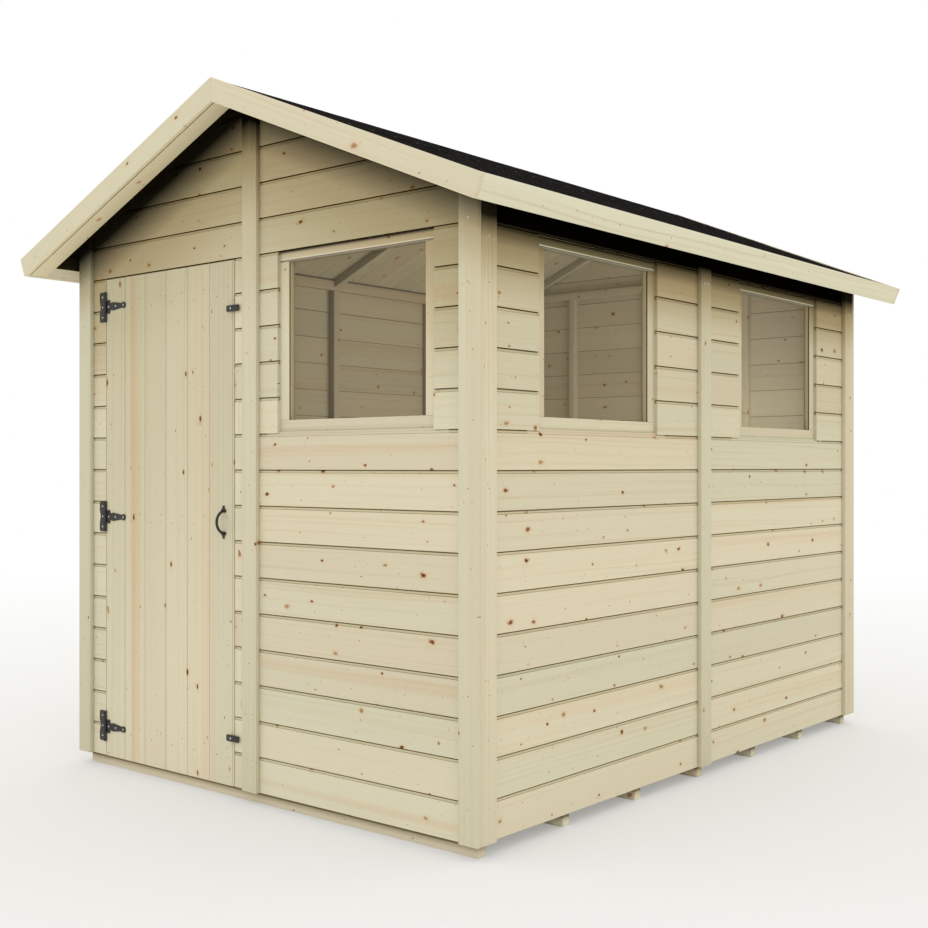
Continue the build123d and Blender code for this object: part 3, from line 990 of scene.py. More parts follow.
@dataclass(frozen=True)
class IronFinish(Finish):
    """Black japanned iron with a fine orange-peel skin."""

    name: str = "black_japan"
    black: Colour = (0.013, 0.012, 0.010)
    worn: Colour = (0.050, 0.045, 0.038)
    worn_limits: tuple[float, float] = (0.45, 0.75)
    roughness: float = 0.38
    roughness_spread: float = 0.2

    def dress(self, tree: Tree) -> None:
        """Builds a thin paint with slightly greyer patches."""
        place = tree.place()
        patch = tree.noise(place, scale=220, detail=4, rough=0.6)
        peel = tree.noise(place, scale=1400)
        colour = tree.blend(patch.ramp(*self.worn_limits), self.black, self.worn)
        tree.finish(tree.surface(Base_Color=colour, Roughness=self.roughness + patch * self.roughness_spread,
                                 Specular_IOR_Level=0.5,
                                 Normal=tree.bump(peel + patch, depth=0.25 * MM, strength=0.5)))


@dataclass(frozen=True)
class HeadFinish(Finish):
    """Metal of nail and screw heads in small patches of two tones; plain, it is that of thin brown nails."""

    name: str = "brown_nail"
    first: Colour = (0.085, 0.058, 0.036)
    second: Colour = (0.160, 0.085, 0.040)
    patch_scale: float = 900
    metallic: float = 0.3
    roughness: float = 0.6
    roughness_spread: float = 0.1

    def dress(self, tree: Tree) -> None:
        """Builds the patches."""
        patch = tree.noise(tree.place(), self.patch_scale)
        colour = tree.blend(patch, self.first, self.second)
        tree.finish(tree.surface(Base_Color=colour, Metallic=self.metallic,
                                 Roughness=self.roughness + patch * self.roughness_spread))


@dataclass(frozen=True)
class GlazingFinish(Finish):
    """Clear glazing with a faint grey film."""

    name: str = "clear_glazing"
    film: Colour = (0.15, 0.14, 0.115)
    film_share: float = 0.10
    film_spread: float = 0.04
    roughness: float = 0.06

    def dress(self, tree: Tree) -> None:
        """Builds a see-through pane with a gloss and a slightly uneven film."""
        uneven = tree.noise(tree.place(), scale=3.5, detail=3) * self.film_spread
        tree.finish(tree.surface(Base_Color=self.film, Roughness=self.roughness + uneven,
                                 Specular_IOR_Level=0.5, Alpha=self.film_share + uneven))


@dataclass(frozen=True)
class Finishes:
    """All finishes of the shed."""

    plan: Plan
    timber: TimberFinish = field(default_factory=TimberFinish)
    soffit: SoffitFinish = field(default_factory=SoffitFinish)
    bearer: BearerFinish = field(default_factory=BearerFinish)
    # Fascias in a lighter copy of the softwood: painted light on faces that tilt down.
    fascia: TimberFinish = TimberFinish(name="fascia_softwood", green_cream=(0.690, 0.665, 0.495),
                                        pink_cream=(0.705, 0.640, 0.480))
    iron: IronFinish = field(default_factory=IronFinish)
    zinc: HeadFinish = HeadFinish(name="bright_zinc", first=(0.78, 0.77, 0.74), second=(0.52, 0.51, 0.48),
                                  patch_scale=700, metallic=0.85, roughness=0.32, roughness_spread=0.2)
    nail: HeadFinish = field(default_factory=HeadFinish)
    clout: HeadFinish = HeadFinish(name="grey_clout", first=(0.036, 0.035, 0.034),
                                   second=(0.062, 0.060, 0.058))
    glazing: GlazingFinish = field(default_factory=GlazingFinish)
    board_margin: float = 0.3 * MM
    strip_margin: float = 0.1 * MM
    window_reach: float = 4 * MM

    @cached_property
    def felt(self) -> FeltFinish:
        """Felt of the roof, with the lap of the ridge sheet."""
        return FeltFinish(pitch=self.plan.pitch, top=self.plan.barge_top, lap=self.plan.ridge_felt)

    def sheltered(self, kind: type[ShelteredFinish], name: str, shelters: Sequence[Shelter],
                  **settings: object) -> ShelteredFinish:
        """Softwood under this roof, with the shelters that act on it."""
        return kind(name=name, peak=self.plan.peak, slope=self.plan.slope, shelters=tuple(shelters),
                    **settings)

    def shelters(self, depth: float, above: float = 0.0) -> tuple[Shelter, Shelter]:
        """Shelters of gable and side walls, above a height and less than a depth behind the faces."""
        wide, long = self.plan.half_width, self.plan.half_length
        gable = Shelter((0.0, wide + depth), (long - depth, self.plan.verge), black=0.035, dim=0.180,
                        darkest=0.035, dull=0.64, steps=((0.36, 0.13, 0.72), (0.06, 1.2, 2.1)), above=above)
        side = Shelter((wide - depth, self.plan.half_roof), (0.0, long - depth), black=0.116, dim=0.180,
                       darkest=0.004, dull=0.56, steps=((0.37, 0.15, 0.36), (0.07, 0.45, 1.0)), above=above)
        return gable, side

    def wall_boards(self, name: str, crevices: tuple[Crevice, ...] = (), **settings: object) -> BoardsFinish:
        """Boards of the walls; their joint right under a window sill lies open to the light."""
        plan, depth = self.plan, self.plan.cladding - self.board_margin
        reach = Vector((1, 1, 0)) * 2 * plan.cladding + Z_AXIS * plan.course / 4
        bright = tuple((low - reach, Vector((high.x, high.y, low.z)) + reach)
                       for low, high in Solids.boxes("window_sills"))
        # Painted shade in the joints: slight in the sunk band, brown deeper in.
        crevices += (Crevice(start=1.5 * MM, end=3.2 * MM, tint=(0.88, 0.87, 0.77)),
                     Crevice(start=3.2 * MM, end=depth, tint=(0.56, 0.46, 0.30)))
        return self.sheltered(BoardsFinish, name, self.shelters(depth), crevices=crevices, bright=bright,
                              faces=(plan.half_width, plan.half_length), foot=plan.foot, course=plan.course,
                              **settings)

    @cached_property
    def boards(self) -> BoardsFinish:
        """Boards of the walls up to the window heads."""
        return self.wall_boards("wall_softwood")

    @cached_property
    def head_boards(self) -> BoardsFinish:
        """Boards over the windows, whose lowest groove lies open and is black inside."""
        hollow = Crevice(start=7.1 * MM, end=self.plan.cladding, tint=(0.06, 0.05, 0.03))
        return self.wall_boards("head_softwood", (hollow,), joint=(0.055, 0.902))

    @cached_property
    def strips(self) -> ShelteredFinish:
        """Corner and cover strips."""
        wide, long = self.plan.half_width - self.strip_margin, self.plan.half_length - self.strip_margin
        verge, eaves = self.plan.verge, self.plan.half_roof
        side_light = dict(dull=0.62, steps=((0.33, 0.13, 0.34), (0.05, 0.34, 0.7)))
        corner = Shelter((wide / 2, eaves), (long, verge), black=0.035, dim=0.15, darkest=0.03, dull=0.79,
                         steps=((0.21, 0.12, 0.30),))
        middle = Shelter((0.0, wide / 2), (long, verge), black=0.08, dim=0.19, darkest=0.02, dull=0.56,
                         steps=((0.34, 0.12, 0.44), (0.10, 0.4, 0.8)))
        side = Shelter((wide, eaves), (0.0, long / 2), black=0.105, dim=0.165, darkest=0.004, **side_light)
        end = Shelter((wide, eaves), (long / 2, long), black=0.101, dim=0.163, darkest=0.045, **side_light)
        return self.sheltered(ShelteredFinish, "strip_softwood", (corner, middle, side, end),
                              knots=Knots(share=0.34, radius=(0.0015, 0.0060)),
                              green_cream=(0.612, 0.588, 0.427), pink_cream=(0.635, 0.560, 0.409))

    @cached_property
    def door(self) -> ShelteredFinish:
        """Boards of the door, duller towards the top."""
        plan = self.plan
        top = Shelter((0.0, plan.half_width), (plan.half_length - 2 * plan.cladding, plan.verge), dull=0.80,
                      steps=((0.09, 0.30, 0.62), (0.15, 0.5, 2.1)))
        return self.sheltered(ShelteredFinish, "door_softwood", (top,), warmth=(1.0, 1.02, 1.35),
                              heart_share=0.75, knots=Knots(share=0.42, stretch=0.5))

    @cached_property
    def rails(self) -> ShelteredFinish:
        """Rails of the walls, dark at the joint under the roof boards and on the back."""
        wide, long = self.plan.half_width - self.plan.cladding, self.plan.half_length - self.plan.cladding
        # Painted shade at the joint under the roof boards, and near black on the back of the rails.
        joint = Shelter((wide / 2, wide), (0.0, self.plan.verge), black=0.005, dim=0.011, darkest=0.22,
                        dull=0.9, steps=((0.1, 0.01, 0.03),))
        back = Crevice(start=-MM, end=1.2 * MM, tint=(0.04, 0.03, 0.02))
        return self.sheltered(ShelteredFinish, "rail_softwood", (joint,), crevices=(back,),
                              faces=(wide, long))

    def window(self, node: str, lip: float, seam: tuple[float, float]) -> WindowFinish:
        """Frame pieces of the windows; below the lip the shelter ends, and the seam is a dark line."""
        back = self.plan.cladding
        # Painted shadow line round the glazing, and lighter painted shade deeper in the reveal.
        crevices = (Crevice(start=1.6 * MM, end=5.6 * MM, tint=(0.14, 0.105, 0.06)),
                    Crevice(start=5.6 * MM, end=21 * MM, tint=(0.87, 0.81, 0.68)))
        shelters = self.shelters(back + self.window_reach, lip)
        return self.sheltered(WindowFinish, f"{node}_softwood", shelters, seam=seam,
                              crevices=() if lip else crevices, head_top=self.plan.wall_head,
                              faces=(self.plan.half_width - back, self.plan.half_length - back),
                              knots=Knots(share=0.25, radius=(0.0015, 0.0050)))

    def front_sides(self, node: str) -> tuple[float, ...]:
        """Places along the shed of the sides that look to the front, of a node's pieces inside the walls."""
        return tuple(low.y for low, _ in Solids.boxes(node) if abs(low.y) < self.plan.half_length)

    @cached_property
    def studs(self) -> FramingFinish:
        """Studs of the side walls."""
        return FramingFinish(sides=self.front_sides("left_studs"))

    @cached_property
    def rafters(self) -> VergeFinish:
        """Rafters, with the joint at the barge boards."""
        return VergeFinish(sides=self.front_sides("left_rafters"), outside=self.plan.half_length,
                           joint_start=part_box("roof_felt_right")[1].y - 1.8 * MM)

    def edged(self, name: str, node: str, axis: tuple[float, float], edge: Colour,
              width: float) -> EdgeFinish:
        """Softwood of a node whose last bit along an axis of the roof's section has another tint.

        Args:
            name: Name of the finish.
            node: Packed node that is dressed in it.
            axis: Direction outwards and down.
            edge: Tint of the edge.
            width: Width of the edge.

        Returns:
            The finish.
        """
        top = self.plan.barge_top
        points = [point.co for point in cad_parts[node].data.vertices]
        last = max(abs(point.x) * axis[0] + (top - point.z) * axis[1] for point in points)
        return EdgeFinish(name=name, axis=axis, top=top, limit=last - width, edge=edge)

    @cached_property
    def eaves(self) -> EdgeFinish:
        """Eaves rails, grimed on the side that looks at the wall."""
        axis = (-math.cos(self.plan.pitch), -math.sin(self.plan.pitch))
        return self.edged("eaves_softwood", "eaves_rails", axis, edge=(0.05, 0.04, 0.025), width=3 * MM)

    @cached_property
    def barges(self) -> EdgeFinish:
        """Barge boards, paler on the lower edge."""
        axis = (-math.sin(self.plan.pitch), math.cos(self.plan.pitch))
        return self.edged("barge_softwood", "right_barge_boards", axis, edge=(1.24, 1.22, 1.18),
                          width=1.2 * MM)


def fit(piece: bpy.types.Object, name: str, finish: Finish, slot: Slot, body: Body = Body.SHED,
        nodes: Sequence[str] = ()) -> None:
    """Names and dresses a finished piece and fixes it to its body.

    Args:
        piece: The mesh object.
        name: Name of the piece.
        finish: Finish of all its faces.
        slot: Finish name in the record.
        body: Body that carries it.
        nodes: Packed nodes that it stands for.
    """
    if isinstance(finish, TimberFinish):
        Grain.lay(piece, name)
    piece.name = name
    piece.data.name = name
    piece.data.materials.clear()
    piece.data.materials.append(finish.material)
    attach(piece, body.value)
    if nodes:
        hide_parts(*nodes)
    log.info("%s: %d faces on %s", name, len(piece.data.polygons), body.value)


def rework(node: str, manner: str, arris: float, finish: Finish, slot: Slot, body: Body = Body.SHED) -> None:
    """Puts a copy of a packed node with eased edges in the node's place.

    Args:
        node: The packed node.
        manner: How it is worked, as the end of the piece's name.
        arris: Width of the eased edges.
        finish: Finish of the piece.
        slot: Finish name in the record.
        body: Body that carries it.
    """
    piece = Bench.copy_of(node)
    Bench.ease(piece, arris)
    fit(piece, f"{node}_{manner}", finish, slot, body, (node,))


@dataclass(frozen=True)
class BoardSection:
    """Section of a tongue-and-groove board, in metres. The face shows a sunk band along one edge."""

    cover: float
    thickness: float
    band: float = 10.0 * MM
    band_depth: float = 2.6 * MM
    quirk: float = 0.9 * MM
    quirk_depth: float = 3.8 * MM
    slot: float = 3.0 * MM
    slot_depth: float = 7.0 * MM
    tongue_back: float = 9.2 * MM
    back_gap: float = 2.0 * MM
    tongue: float = 5.0 * MM
    play: float = 0.4 * MM
    arris: float = 0.8 * MM
    least_board: float = 0.02

    @property
    def face_top(self) -> float:
        """Height at which the face ends and the sunk band starts."""
        return self.cover - self.band

    def _filled(self, depth: float, height: float) -> bool:
        """Tells whether the board has wood at a depth behind its face and a height."""
        if height < self.back_gap and depth > self.tongue_back:
            return False
        if height < self.tongue + self.play:
            return not self.slot_depth - self.play < depth < self.tongue_back + self.play
        if height < self.face_top:
            return True
        if height < self.face_top + self.quirk:
            return depth > self.quirk_depth
        if height < self.cover - self.slot:
            return depth > self.band_depth
        if height < self.cover:
            return depth > self.slot_depth
        return self.slot_depth < depth < self.tongue_back

    def board(self, length: float) -> bpy.types.Object:
        """Models one board from a sheet of its end: cut, hollowed, drawn out and eased.

        Args:
            length: Length of the board, along X. Its face looks along -Y and its tongue points up.

        Returns:
            The board with a lower corner of its face at the origin.
        """
        top = self.cover + self.tongue
        piece = Bench.sheet(Vector((0, 0, 0)), Y_AXIS * self.thickness, Z_AXIS * top)
        depths = (self.band_depth, self.quirk_depth, self.slot_depth - self.play, self.slot_depth,
                  self.tongue_back, self.tongue_back + self.play)
        heights = (self.back_gap, self.tongue + self.play, self.face_top, self.face_top + self.quirk,
                   self.cover - self.slot, self.cover)
        with Bench.editing(piece):
            for axis, places in ((Y_AXIS, depths), (Z_AXIS, heights)):
                for place in places:
                    bpy.ops.mesh.select_all(action="SELECT")
                    bpy.ops.mesh.bisect(plane_co=axis * place, plane_no=axis)
            Bench.pick_faces(piece, lambda centre, normal: not self._filled(centre.y, centre.z))
            bpy.ops.mesh.delete(type="FACE")
            bpy.ops.mesh.select_all(action="SELECT")
            bpy.ops.mesh.extrude_region_move(TRANSFORM_OT_translate={"value": X_AXIS * length})
            bpy.ops.mesh.select_all(action="SELECT")
            bpy.ops.mesh.normals_make_consistent(inside=False)
            bpy.ops.mesh.dissolve_limited(angle_limit=math.radians(1))
            Bench.pick_edges(piece, self._arrises)
            bpy.ops.mesh.bevel(offset=self.arris, segments=2, affect="EDGES")
        return piece

    def _arrises(self, first: Vector, second: Vector) -> bool:
        """Tells whether an edge is one of the long outer edges of the face."""
        small = Solids.SAME_PLACE
        if abs(first.x - second.x) < small:
            return False
        return first.y < small and (first.z < small or abs(first.z - self.face_top) < small)

    def lay(self, origin: Vector, along: Vector, inward: Vector, length: float,
            width: float) -> bpy.types.Object:
        """Lays boards side by side over a rectangle.

        Args:
            origin: Corner of the first board's face.
            along: Direction of the boards.
            inward: Direction from the face into the board.
            length: Length of the boards.
            width: Width to cover; the last board may reach past it.

        Returns:
            The boards as one mesh in place.
        """
        piece = self.board(length)
        count = max(1, math.ceil(width / self.cover - self.least_board))
        Bench.modify(piece, "ARRAY", count=count, use_relative_offset=False, use_constant_offset=True,
                     constant_offset_displace=Z_AXIS * self.cover)
        turn = Matrix((along, inward, along.cross(inward))).transposed().to_4x4()
        Bench.place(piece, Matrix.Translation(origin) @ turn)
        return piece


@dataclass(frozen=True)
class FixingHead:
    """Head of a screw or nail, modelled once: a disc with an eased rim and, on a screw, a sunk drive."""

    radius: float
    height: float
    drive_share: float = 0.0
    drive_depth: float = 0.7
    rim_share: float = 0.3
    rise_share: float = 0.35
    sides: int = 12

    def model(self) -> bpy.types.Object:
        """Models the head at the origin, standing up along Z."""
        bpy.ops.object.select_all(action="DESELECT")
        bpy.ops.mesh.primitive_cylinder_add(vertices=self.sides, radius=self.radius, depth=self.height)
        piece = bpy.context.object
        with Bench.editing(piece):
            Bench.pick_faces(piece, lambda centre, normal: normal.z > 0.5)
            bpy.ops.mesh.inset(thickness=self.radius * self.rim_share)
            bpy.ops.transform.translate(value=Z_AXIS * self.height * self.rise_share)
            if self.drive_share:
                bpy.ops.mesh.inset(thickness=self.radius * (1 - self.rim_share - self.drive_share))
                sunk = -Z_AXIS * self.height * self.drive_depth
                bpy.ops.mesh.extrude_region_move(TRANSFORM_OT_translate={"value": sunk})
        bpy.ops.object.shade_smooth_by_angle(angle=Bench.SMOOTH)
        return piece

    def drive_in(self, places: Sequence[tuple[Vector, Vector]]) -> bpy.types.Object:
        """Sets heads at points, each facing a direction, half sunk into what carries them."""
        turns = [Matrix.Translation(point) @ facing.to_track_quat("Z", "Y").to_matrix().to_4x4()
                 for point, facing in places]
        return Bench.repeat(self.model(), turns)


@dataclass
class Cladding:
    """Horizontal boards of the four walls."""

    plan: Plan
    finishes: Finishes
    walls: tuple[tuple[Wall, tuple[str, ...]], ...] = (
        (Wall.FRONT, ("wall_beside_door", "gable", "wall_under_window", "wall_beside_window")),
        (Wall.BACK, ("wall",)),
        (Wall.RIGHT, ("wall_under_windows", "wall_beside_windows", "wall_over_windows")),
        (Wall.LEFT, ("wall",)))
    over_windows: tuple[str, ...] = ("front_gable", "right_wall_over_windows")
    closed_gap: float = 0.2 * MM

    @property
    def section(self) -> BoardSection:
        """Section of the wall boards."""
        return BoardSection(cover=self.plan.course, thickness=self.plan.cladding)

    def panel(self, wall: Wall, section: BoardSection, low: Vector, high: Vector) -> bpy.types.Object:
        """Boards one panel between its corners and saws its top to the roof."""
        along, inward = wall.value
        start = along + inward
        origin = Vector((low.x if start.x > 0 else high.x, low.y if start.y > 0 else high.y, low.z))
        length = abs((high - low).dot(along))
        piece = section.lay(origin, along, inward, length, high.z - low.z)
        if high.z > self.plan.wall_head + self.plan.course / 2:
            for side in (-1, 1):
                Bench.cut(piece, Z_AXIS * self.plan.peak, self.plan.roof_normal(side))
        return piece

    def build(self) -> None:
        """Boards every wall; over the windows the boards close against the window heads."""
        nodes = [(wall, f"{wall.name.lower()}_{panel}") for wall, panels in self.walls for panel in panels]
        for wall, node in nodes:
            section, finish = self.section, self.finishes.boards
            if node in self.over_windows:
                section, finish = replace(section, back_gap=self.closed_gap), self.finishes.head_boards
            panels = [self.panel(wall, section, low, high) for low, high in Solids.boxes(node)]
            fit(Bench.join(panels), f"{node}_boards", finish, Slot.TIMBER, nodes=(node,))


@dataclass
class Carcass:
    """Planed framing, trim and floor bearers: lengths of timber with eased edges."""

    finishes: Finishes
    framing_arris: float = 2.0 * MM
    trim_arris: float = 1.5 * MM

    def build(self) -> None:
        """Dresses every length."""
        finishes = self.finishes
        framing = ((finishes.timber, ("right_studs", "front_studs", "back_studs")),
                   (finishes.studs, ("left_studs",)),
                   (finishes.bearer, ("floor_bearers",)),
                   (finishes.rails, ("left_rails", "right_rails", "front_rails", "back_rails")),
                   (finishes.rafters, ("left_rafters", "right_rafters")),
                   (finishes.eaves, ("eaves_rails",)))
        trim = ((finishes.barges, ("left_barge_boards", "right_barge_boards")),
                (finishes.fascia, ("eaves_fascias",)),
                (finishes.strips, ("front_strips", "back_strips", "left_strips", "right_strips")))
        door = ((finishes.timber, ("door_ledges", "door_braces")),)
        for groups, arris, body in ((framing, self.framing_arris, Body.SHED),
                                    (trim, self.trim_arris, Body.SHED), (door, self.trim_arris, Body.DOOR)):
            for finish, nodes in groups:
                for node in nodes:
                    rework(node, "planed", arris, finish, Slot.TIMBER, body)


@dataclass
class Windows:
    """Frames of the fixed windows, and panes that keep the packed shape."""

    plan: Plan
    finishes: Finishes
    pane: str = "window_panes"
    frame_depth: float = 24 * MM
    arris: float = 1.5 * MM
    # Below the lip the painted shade of the roof ends on the heads; the seam is a painted shadow line along
    # their lower edge.
    lip: float = 8.6 * MM
    seam: tuple[float, float] = (2.0 * MM, 5.2 * MM)

    def frame_piece(self, node: str, lip: float = 0.0, seam: tuple[float, float] = (0.0, 0.0)) -> None:
        """Planes the frame pieces of all windows that a node holds, down to the depth of the frame."""
        face = self.plan.half_length - self.plan.cladding
        front = Bench.copy_of(node)
        Bench.cut(front, Y_AXIS * (self.frame_depth - face), Y_AXIS)
        side = Bench.copy_of(node)
        Bench.cut(side, X_AXIS * (self.plan.half_width - self.plan.cladding - self.frame_depth), -X_AXIS)
        piece = Bench.join([front, side])
        Bench.ease(piece, self.arris)
        fit(piece, f"{node}_planed", self.finishes.window(node, lip, seam), Slot.TIMBER, nodes=(node,))

    def build(self) -> None:
        """Planes the frames and glazes the panes."""
        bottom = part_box("window_heads")[0].z
        self.frame_piece("window_jambs")
        self.frame_piece("window_heads", bottom + self.lip, (bottom + self.seam[0], bottom + self.seam[1]))
        self.frame_piece("window_sills")
        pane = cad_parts[self.pane]
        pane.data.materials.clear()
        pane.data.materials.append(self.finishes.glazing.material)
        log.info("%s: kept as packed", self.pane)


@dataclass
class Roof:
    """Roof boards that run up each slope, and felt in lapped sheets over them."""

    plan: Plan
    finishes: Finishes
    board_count: int = 24
    felt_sheet: float = 1.2 * MM
    felt_ripple: float = 0.45 * MM
    felt_lap: float = 0.09
    ridge_round: float = 12 * MM
    ridge_trim: float = 3.5 * MM
    ripple_cuts: int = 24
    ripple_seed: int = 5
    nail_pitch: float = 0.10
    nail_margin: float = 0.03
    nail: FixingHead = FixingHead(radius=5.5 * MM, height=1.2 * MM)

    def depth(self, node: str) -> float:
        """Depth of a node's top below the barge boards' top, square to the slope."""
        return (self.plan.barge_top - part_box(node)[1].z) * math.cos(self.plan.pitch)

    @property
    def run(self) -> float:
        """Run down the slope from the ridge to the back of the fascia."""
        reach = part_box("roof_felt_right")[1].x + self.depth("roof_felt_right") * math.sin(self.plan.pitch)
        return reach / math.cos(self.plan.pitch)

    def boards(self, side: int, node: str) -> None:
        """Boards one slope, with the sunk bands on the underside."""
        low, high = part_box(node)
        under = self.depth("right_rafters")
        section = BoardSection(cover=(high.y - low.y) / self.board_count, thickness=under - self.depth(node),
                               band=1.4 * MM, band_depth=0.6 * MM, quirk=0.4 * MM, quirk_depth=0.9 * MM,
                               slot=0.5 * MM, slot_depth=4.0 * MM, tongue_back=7.4 * MM, arris=0.3 * MM)
        along = -self.plan.fall(side)
        inward = self.plan.roof_normal(side)
        stack = along.cross(inward)
        first, last = (low.y, high.y) if stack.y > 0 else (high.y, low.y)
        origin = self.plan.roof_point(side, self.run, under) + Y_AXIS * first
        piece = section.lay(origin, along, inward, self.run, high.y - low.y)
        Bench.cut(piece, Vector((0, 0, 0)), X_AXIS * -side)
        apex = self.plan.barge_top - self.depth(node) / math.cos(self.plan.pitch)
        Bench.cut(piece, Z_AXIS * (apex - self.ridge_trim), Z_AXIS)
        Bench.cut(piece, Y_AXIS * last, stack)
        fit(piece, f"{node}_laid", self.finishes.soffit, Slot.TIMBER, nodes=(node,))

    def sheet(self, side: int, start: float, end: float, depth: float) -> bpy.types.Object:
        """Lays one flat felt sheet between two runs of a slope, with its lower face at a depth."""
        low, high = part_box("roof_felt_right")
        top = self.plan.roof_point(side, start, depth) + Y_AXIS * (low.y if side > 0 else high.y)
        across = self.plan.fall(side) * (end - start)
        return Bench.sheet(top, across, Y_AXIS * (high.y - low.y) * side)

    def thicken(self, piece: bpy.types.Object) -> None:
        """Ripples a sheet a little and gives it its thickness."""
        with Bench.editing(piece):
            bpy.ops.mesh.subdivide(number_cuts=self.ripple_cuts)
            bpy.ops.transform.vertex_random(offset=self.felt_ripple, uniform=0, normal=1,
                                            seed=self.ripple_seed)
        Bench.modify(piece, "SOLIDIFY", thickness=self.felt_sheet, offset=1)
        Bench.take(piece)
        bpy.ops.object.shade_smooth_by_angle(angle=Bench.SMOOTH)

    def felt(self) -> None:
        """Lays a sheet up each slope and one over the ridge, and nails the laps."""
        base = self.depth("roof_boards_right")
        sheets = [self.sheet(side, self.plan.ridge_felt - self.felt_lap, self.run, base) for side in (-1, 1)]
        over = base - self.felt_sheet
        ridge_start = over * math.tan(self.plan.pitch)
        halves = [self.sheet(side, ridge_start, self.plan.ridge_felt, over) for side in (-1, 1)]
        cap = Bench.join(halves)
        with Bench.editing(cap):
            bpy.ops.mesh.remove_doubles(threshold=0.1 * MM)
            Bench.pick_edges(cap, lambda first, second: abs(first.x) < MM and abs(second.x) < MM)
            bpy.ops.mesh.bevel(offset=self.ridge_round, segments=3, affect="EDGES")
        for piece in (*sheets, cap):
            self.thicken(piece)
        fit(Bench.join([*sheets, cap]), "felt_sheets", self.finishes.felt, Slot.FELT,
            nodes=("roof_felt_left", "roof_felt_right"))
        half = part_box("roof_felt_right")[1].y - self.nail_pitch / 2
        rows = np.arange(-half, half, self.nail_pitch)
        line, level = self.plan.ridge_felt - self.nail_margin, over - self.felt_sheet
        places = [(self.plan.roof_point(side, line, level) + Y_AXIS * float(y), self.plan.roof_normal(side))
                  for side in (-1, 1) for y in rows]
        fit(self.nail.drive_in(places), "clout_nails", self.finishes.clout, Slot.FELT)

    def build(self) -> None:
        """Boards and felts both slopes."""
        for side, name in ((-1, "left"), (1, "right")):
            self.boards(side, f"roof_boards_{name}")
        self.felt()


@dataclass
class FloorBoards:
    """Tongue-and-groove floor inside the walls."""

    finishes: Finishes
    node: str = "floor_boards"
    count: int = 16

    def build(self) -> None:
        """Lays the floor with its boards along the shed."""
        low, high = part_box(self.node)
        section = BoardSection(cover=(high.x - low.x) / self.count, thickness=high.z - low.z, band=2.6 * MM,
                               band_depth=1.0 * MM, quirk=0.4 * MM, quirk_depth=1.4 * MM, slot=1.2 * MM)
        piece = section.lay(Vector((high.x, low.y, high.z)), Y_AXIS, -Z_AXIS, high.y - low.y, high.x - low.x)
        Bench.cut(piece, X_AXIS * low.x, -X_AXIS)
        fit(piece, "floor_boards_laid", self.finishes.timber, Slot.TIMBER, nodes=(self.node,))


@dataclass
class DoorLeaf:
    """Upright boards of the door, and the nails that hold them to the ledges."""

    finishes: Finishes
    node: str = "door_leaf"
    count: int = 6
    nail: FixingHead = FixingHead(radius=1.7 * MM, height=0.8 * MM, sides=8)
    nail_spread: float = 0.026
    nail_rise: float = 0.014
    nail_shift: float = 3 * MM
    strap_margin: float = 0.01
    hinge_side: float = 2.5 * MM

    def build(self) -> None:
        """Lays the boards from the hinge side, where they close half of the gap, and nails them."""
        low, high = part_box(self.node)
        low.x -= self.hinge_side
        cover = (high.x - low.x) / self.count
        section = BoardSection(cover=cover, thickness=high.y - low.y, band=8 * MM, band_depth=1.2 * MM,
                               quirk=0.7 * MM, quirk_depth=1.9 * MM, slot=0.9 * MM, slot_depth=4.0 * MM,
                               arris=0.5 * MM)
        piece = section.lay(Vector((low.x, low.y, high.z)), -Z_AXIS, Y_AXIS, high.z - low.z, high.x - low.x)
        Bench.cut(piece, X_AXIS * high.x, X_AXIS)
        fit(piece, "door_boards", self.finishes.door, Slot.TIMBER, Body.DOOR, (self.node,))
        strap_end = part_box("hinge_straps")[1].x
        places = []
        for ledge_low, ledge_high in Solids.boxes("door_ledges"):
            level = (ledge_low.z + ledge_high.z) / 2
            for k in range(self.count):
                middle = low.x + (k + 0.5) * cover - self.nail_shift
                for sign in (-1, 1):
                    x = middle + sign * self.nail_spread
                    if x > strap_end + self.strap_margin:
                        places.append((Vector((x, low.y, level + sign * self.nail_rise)), -Y_AXIS))
        fit(self.nail.drive_in(places), "door_nails", self.finishes.nail, Slot.IRONWORK, Body.DOOR)


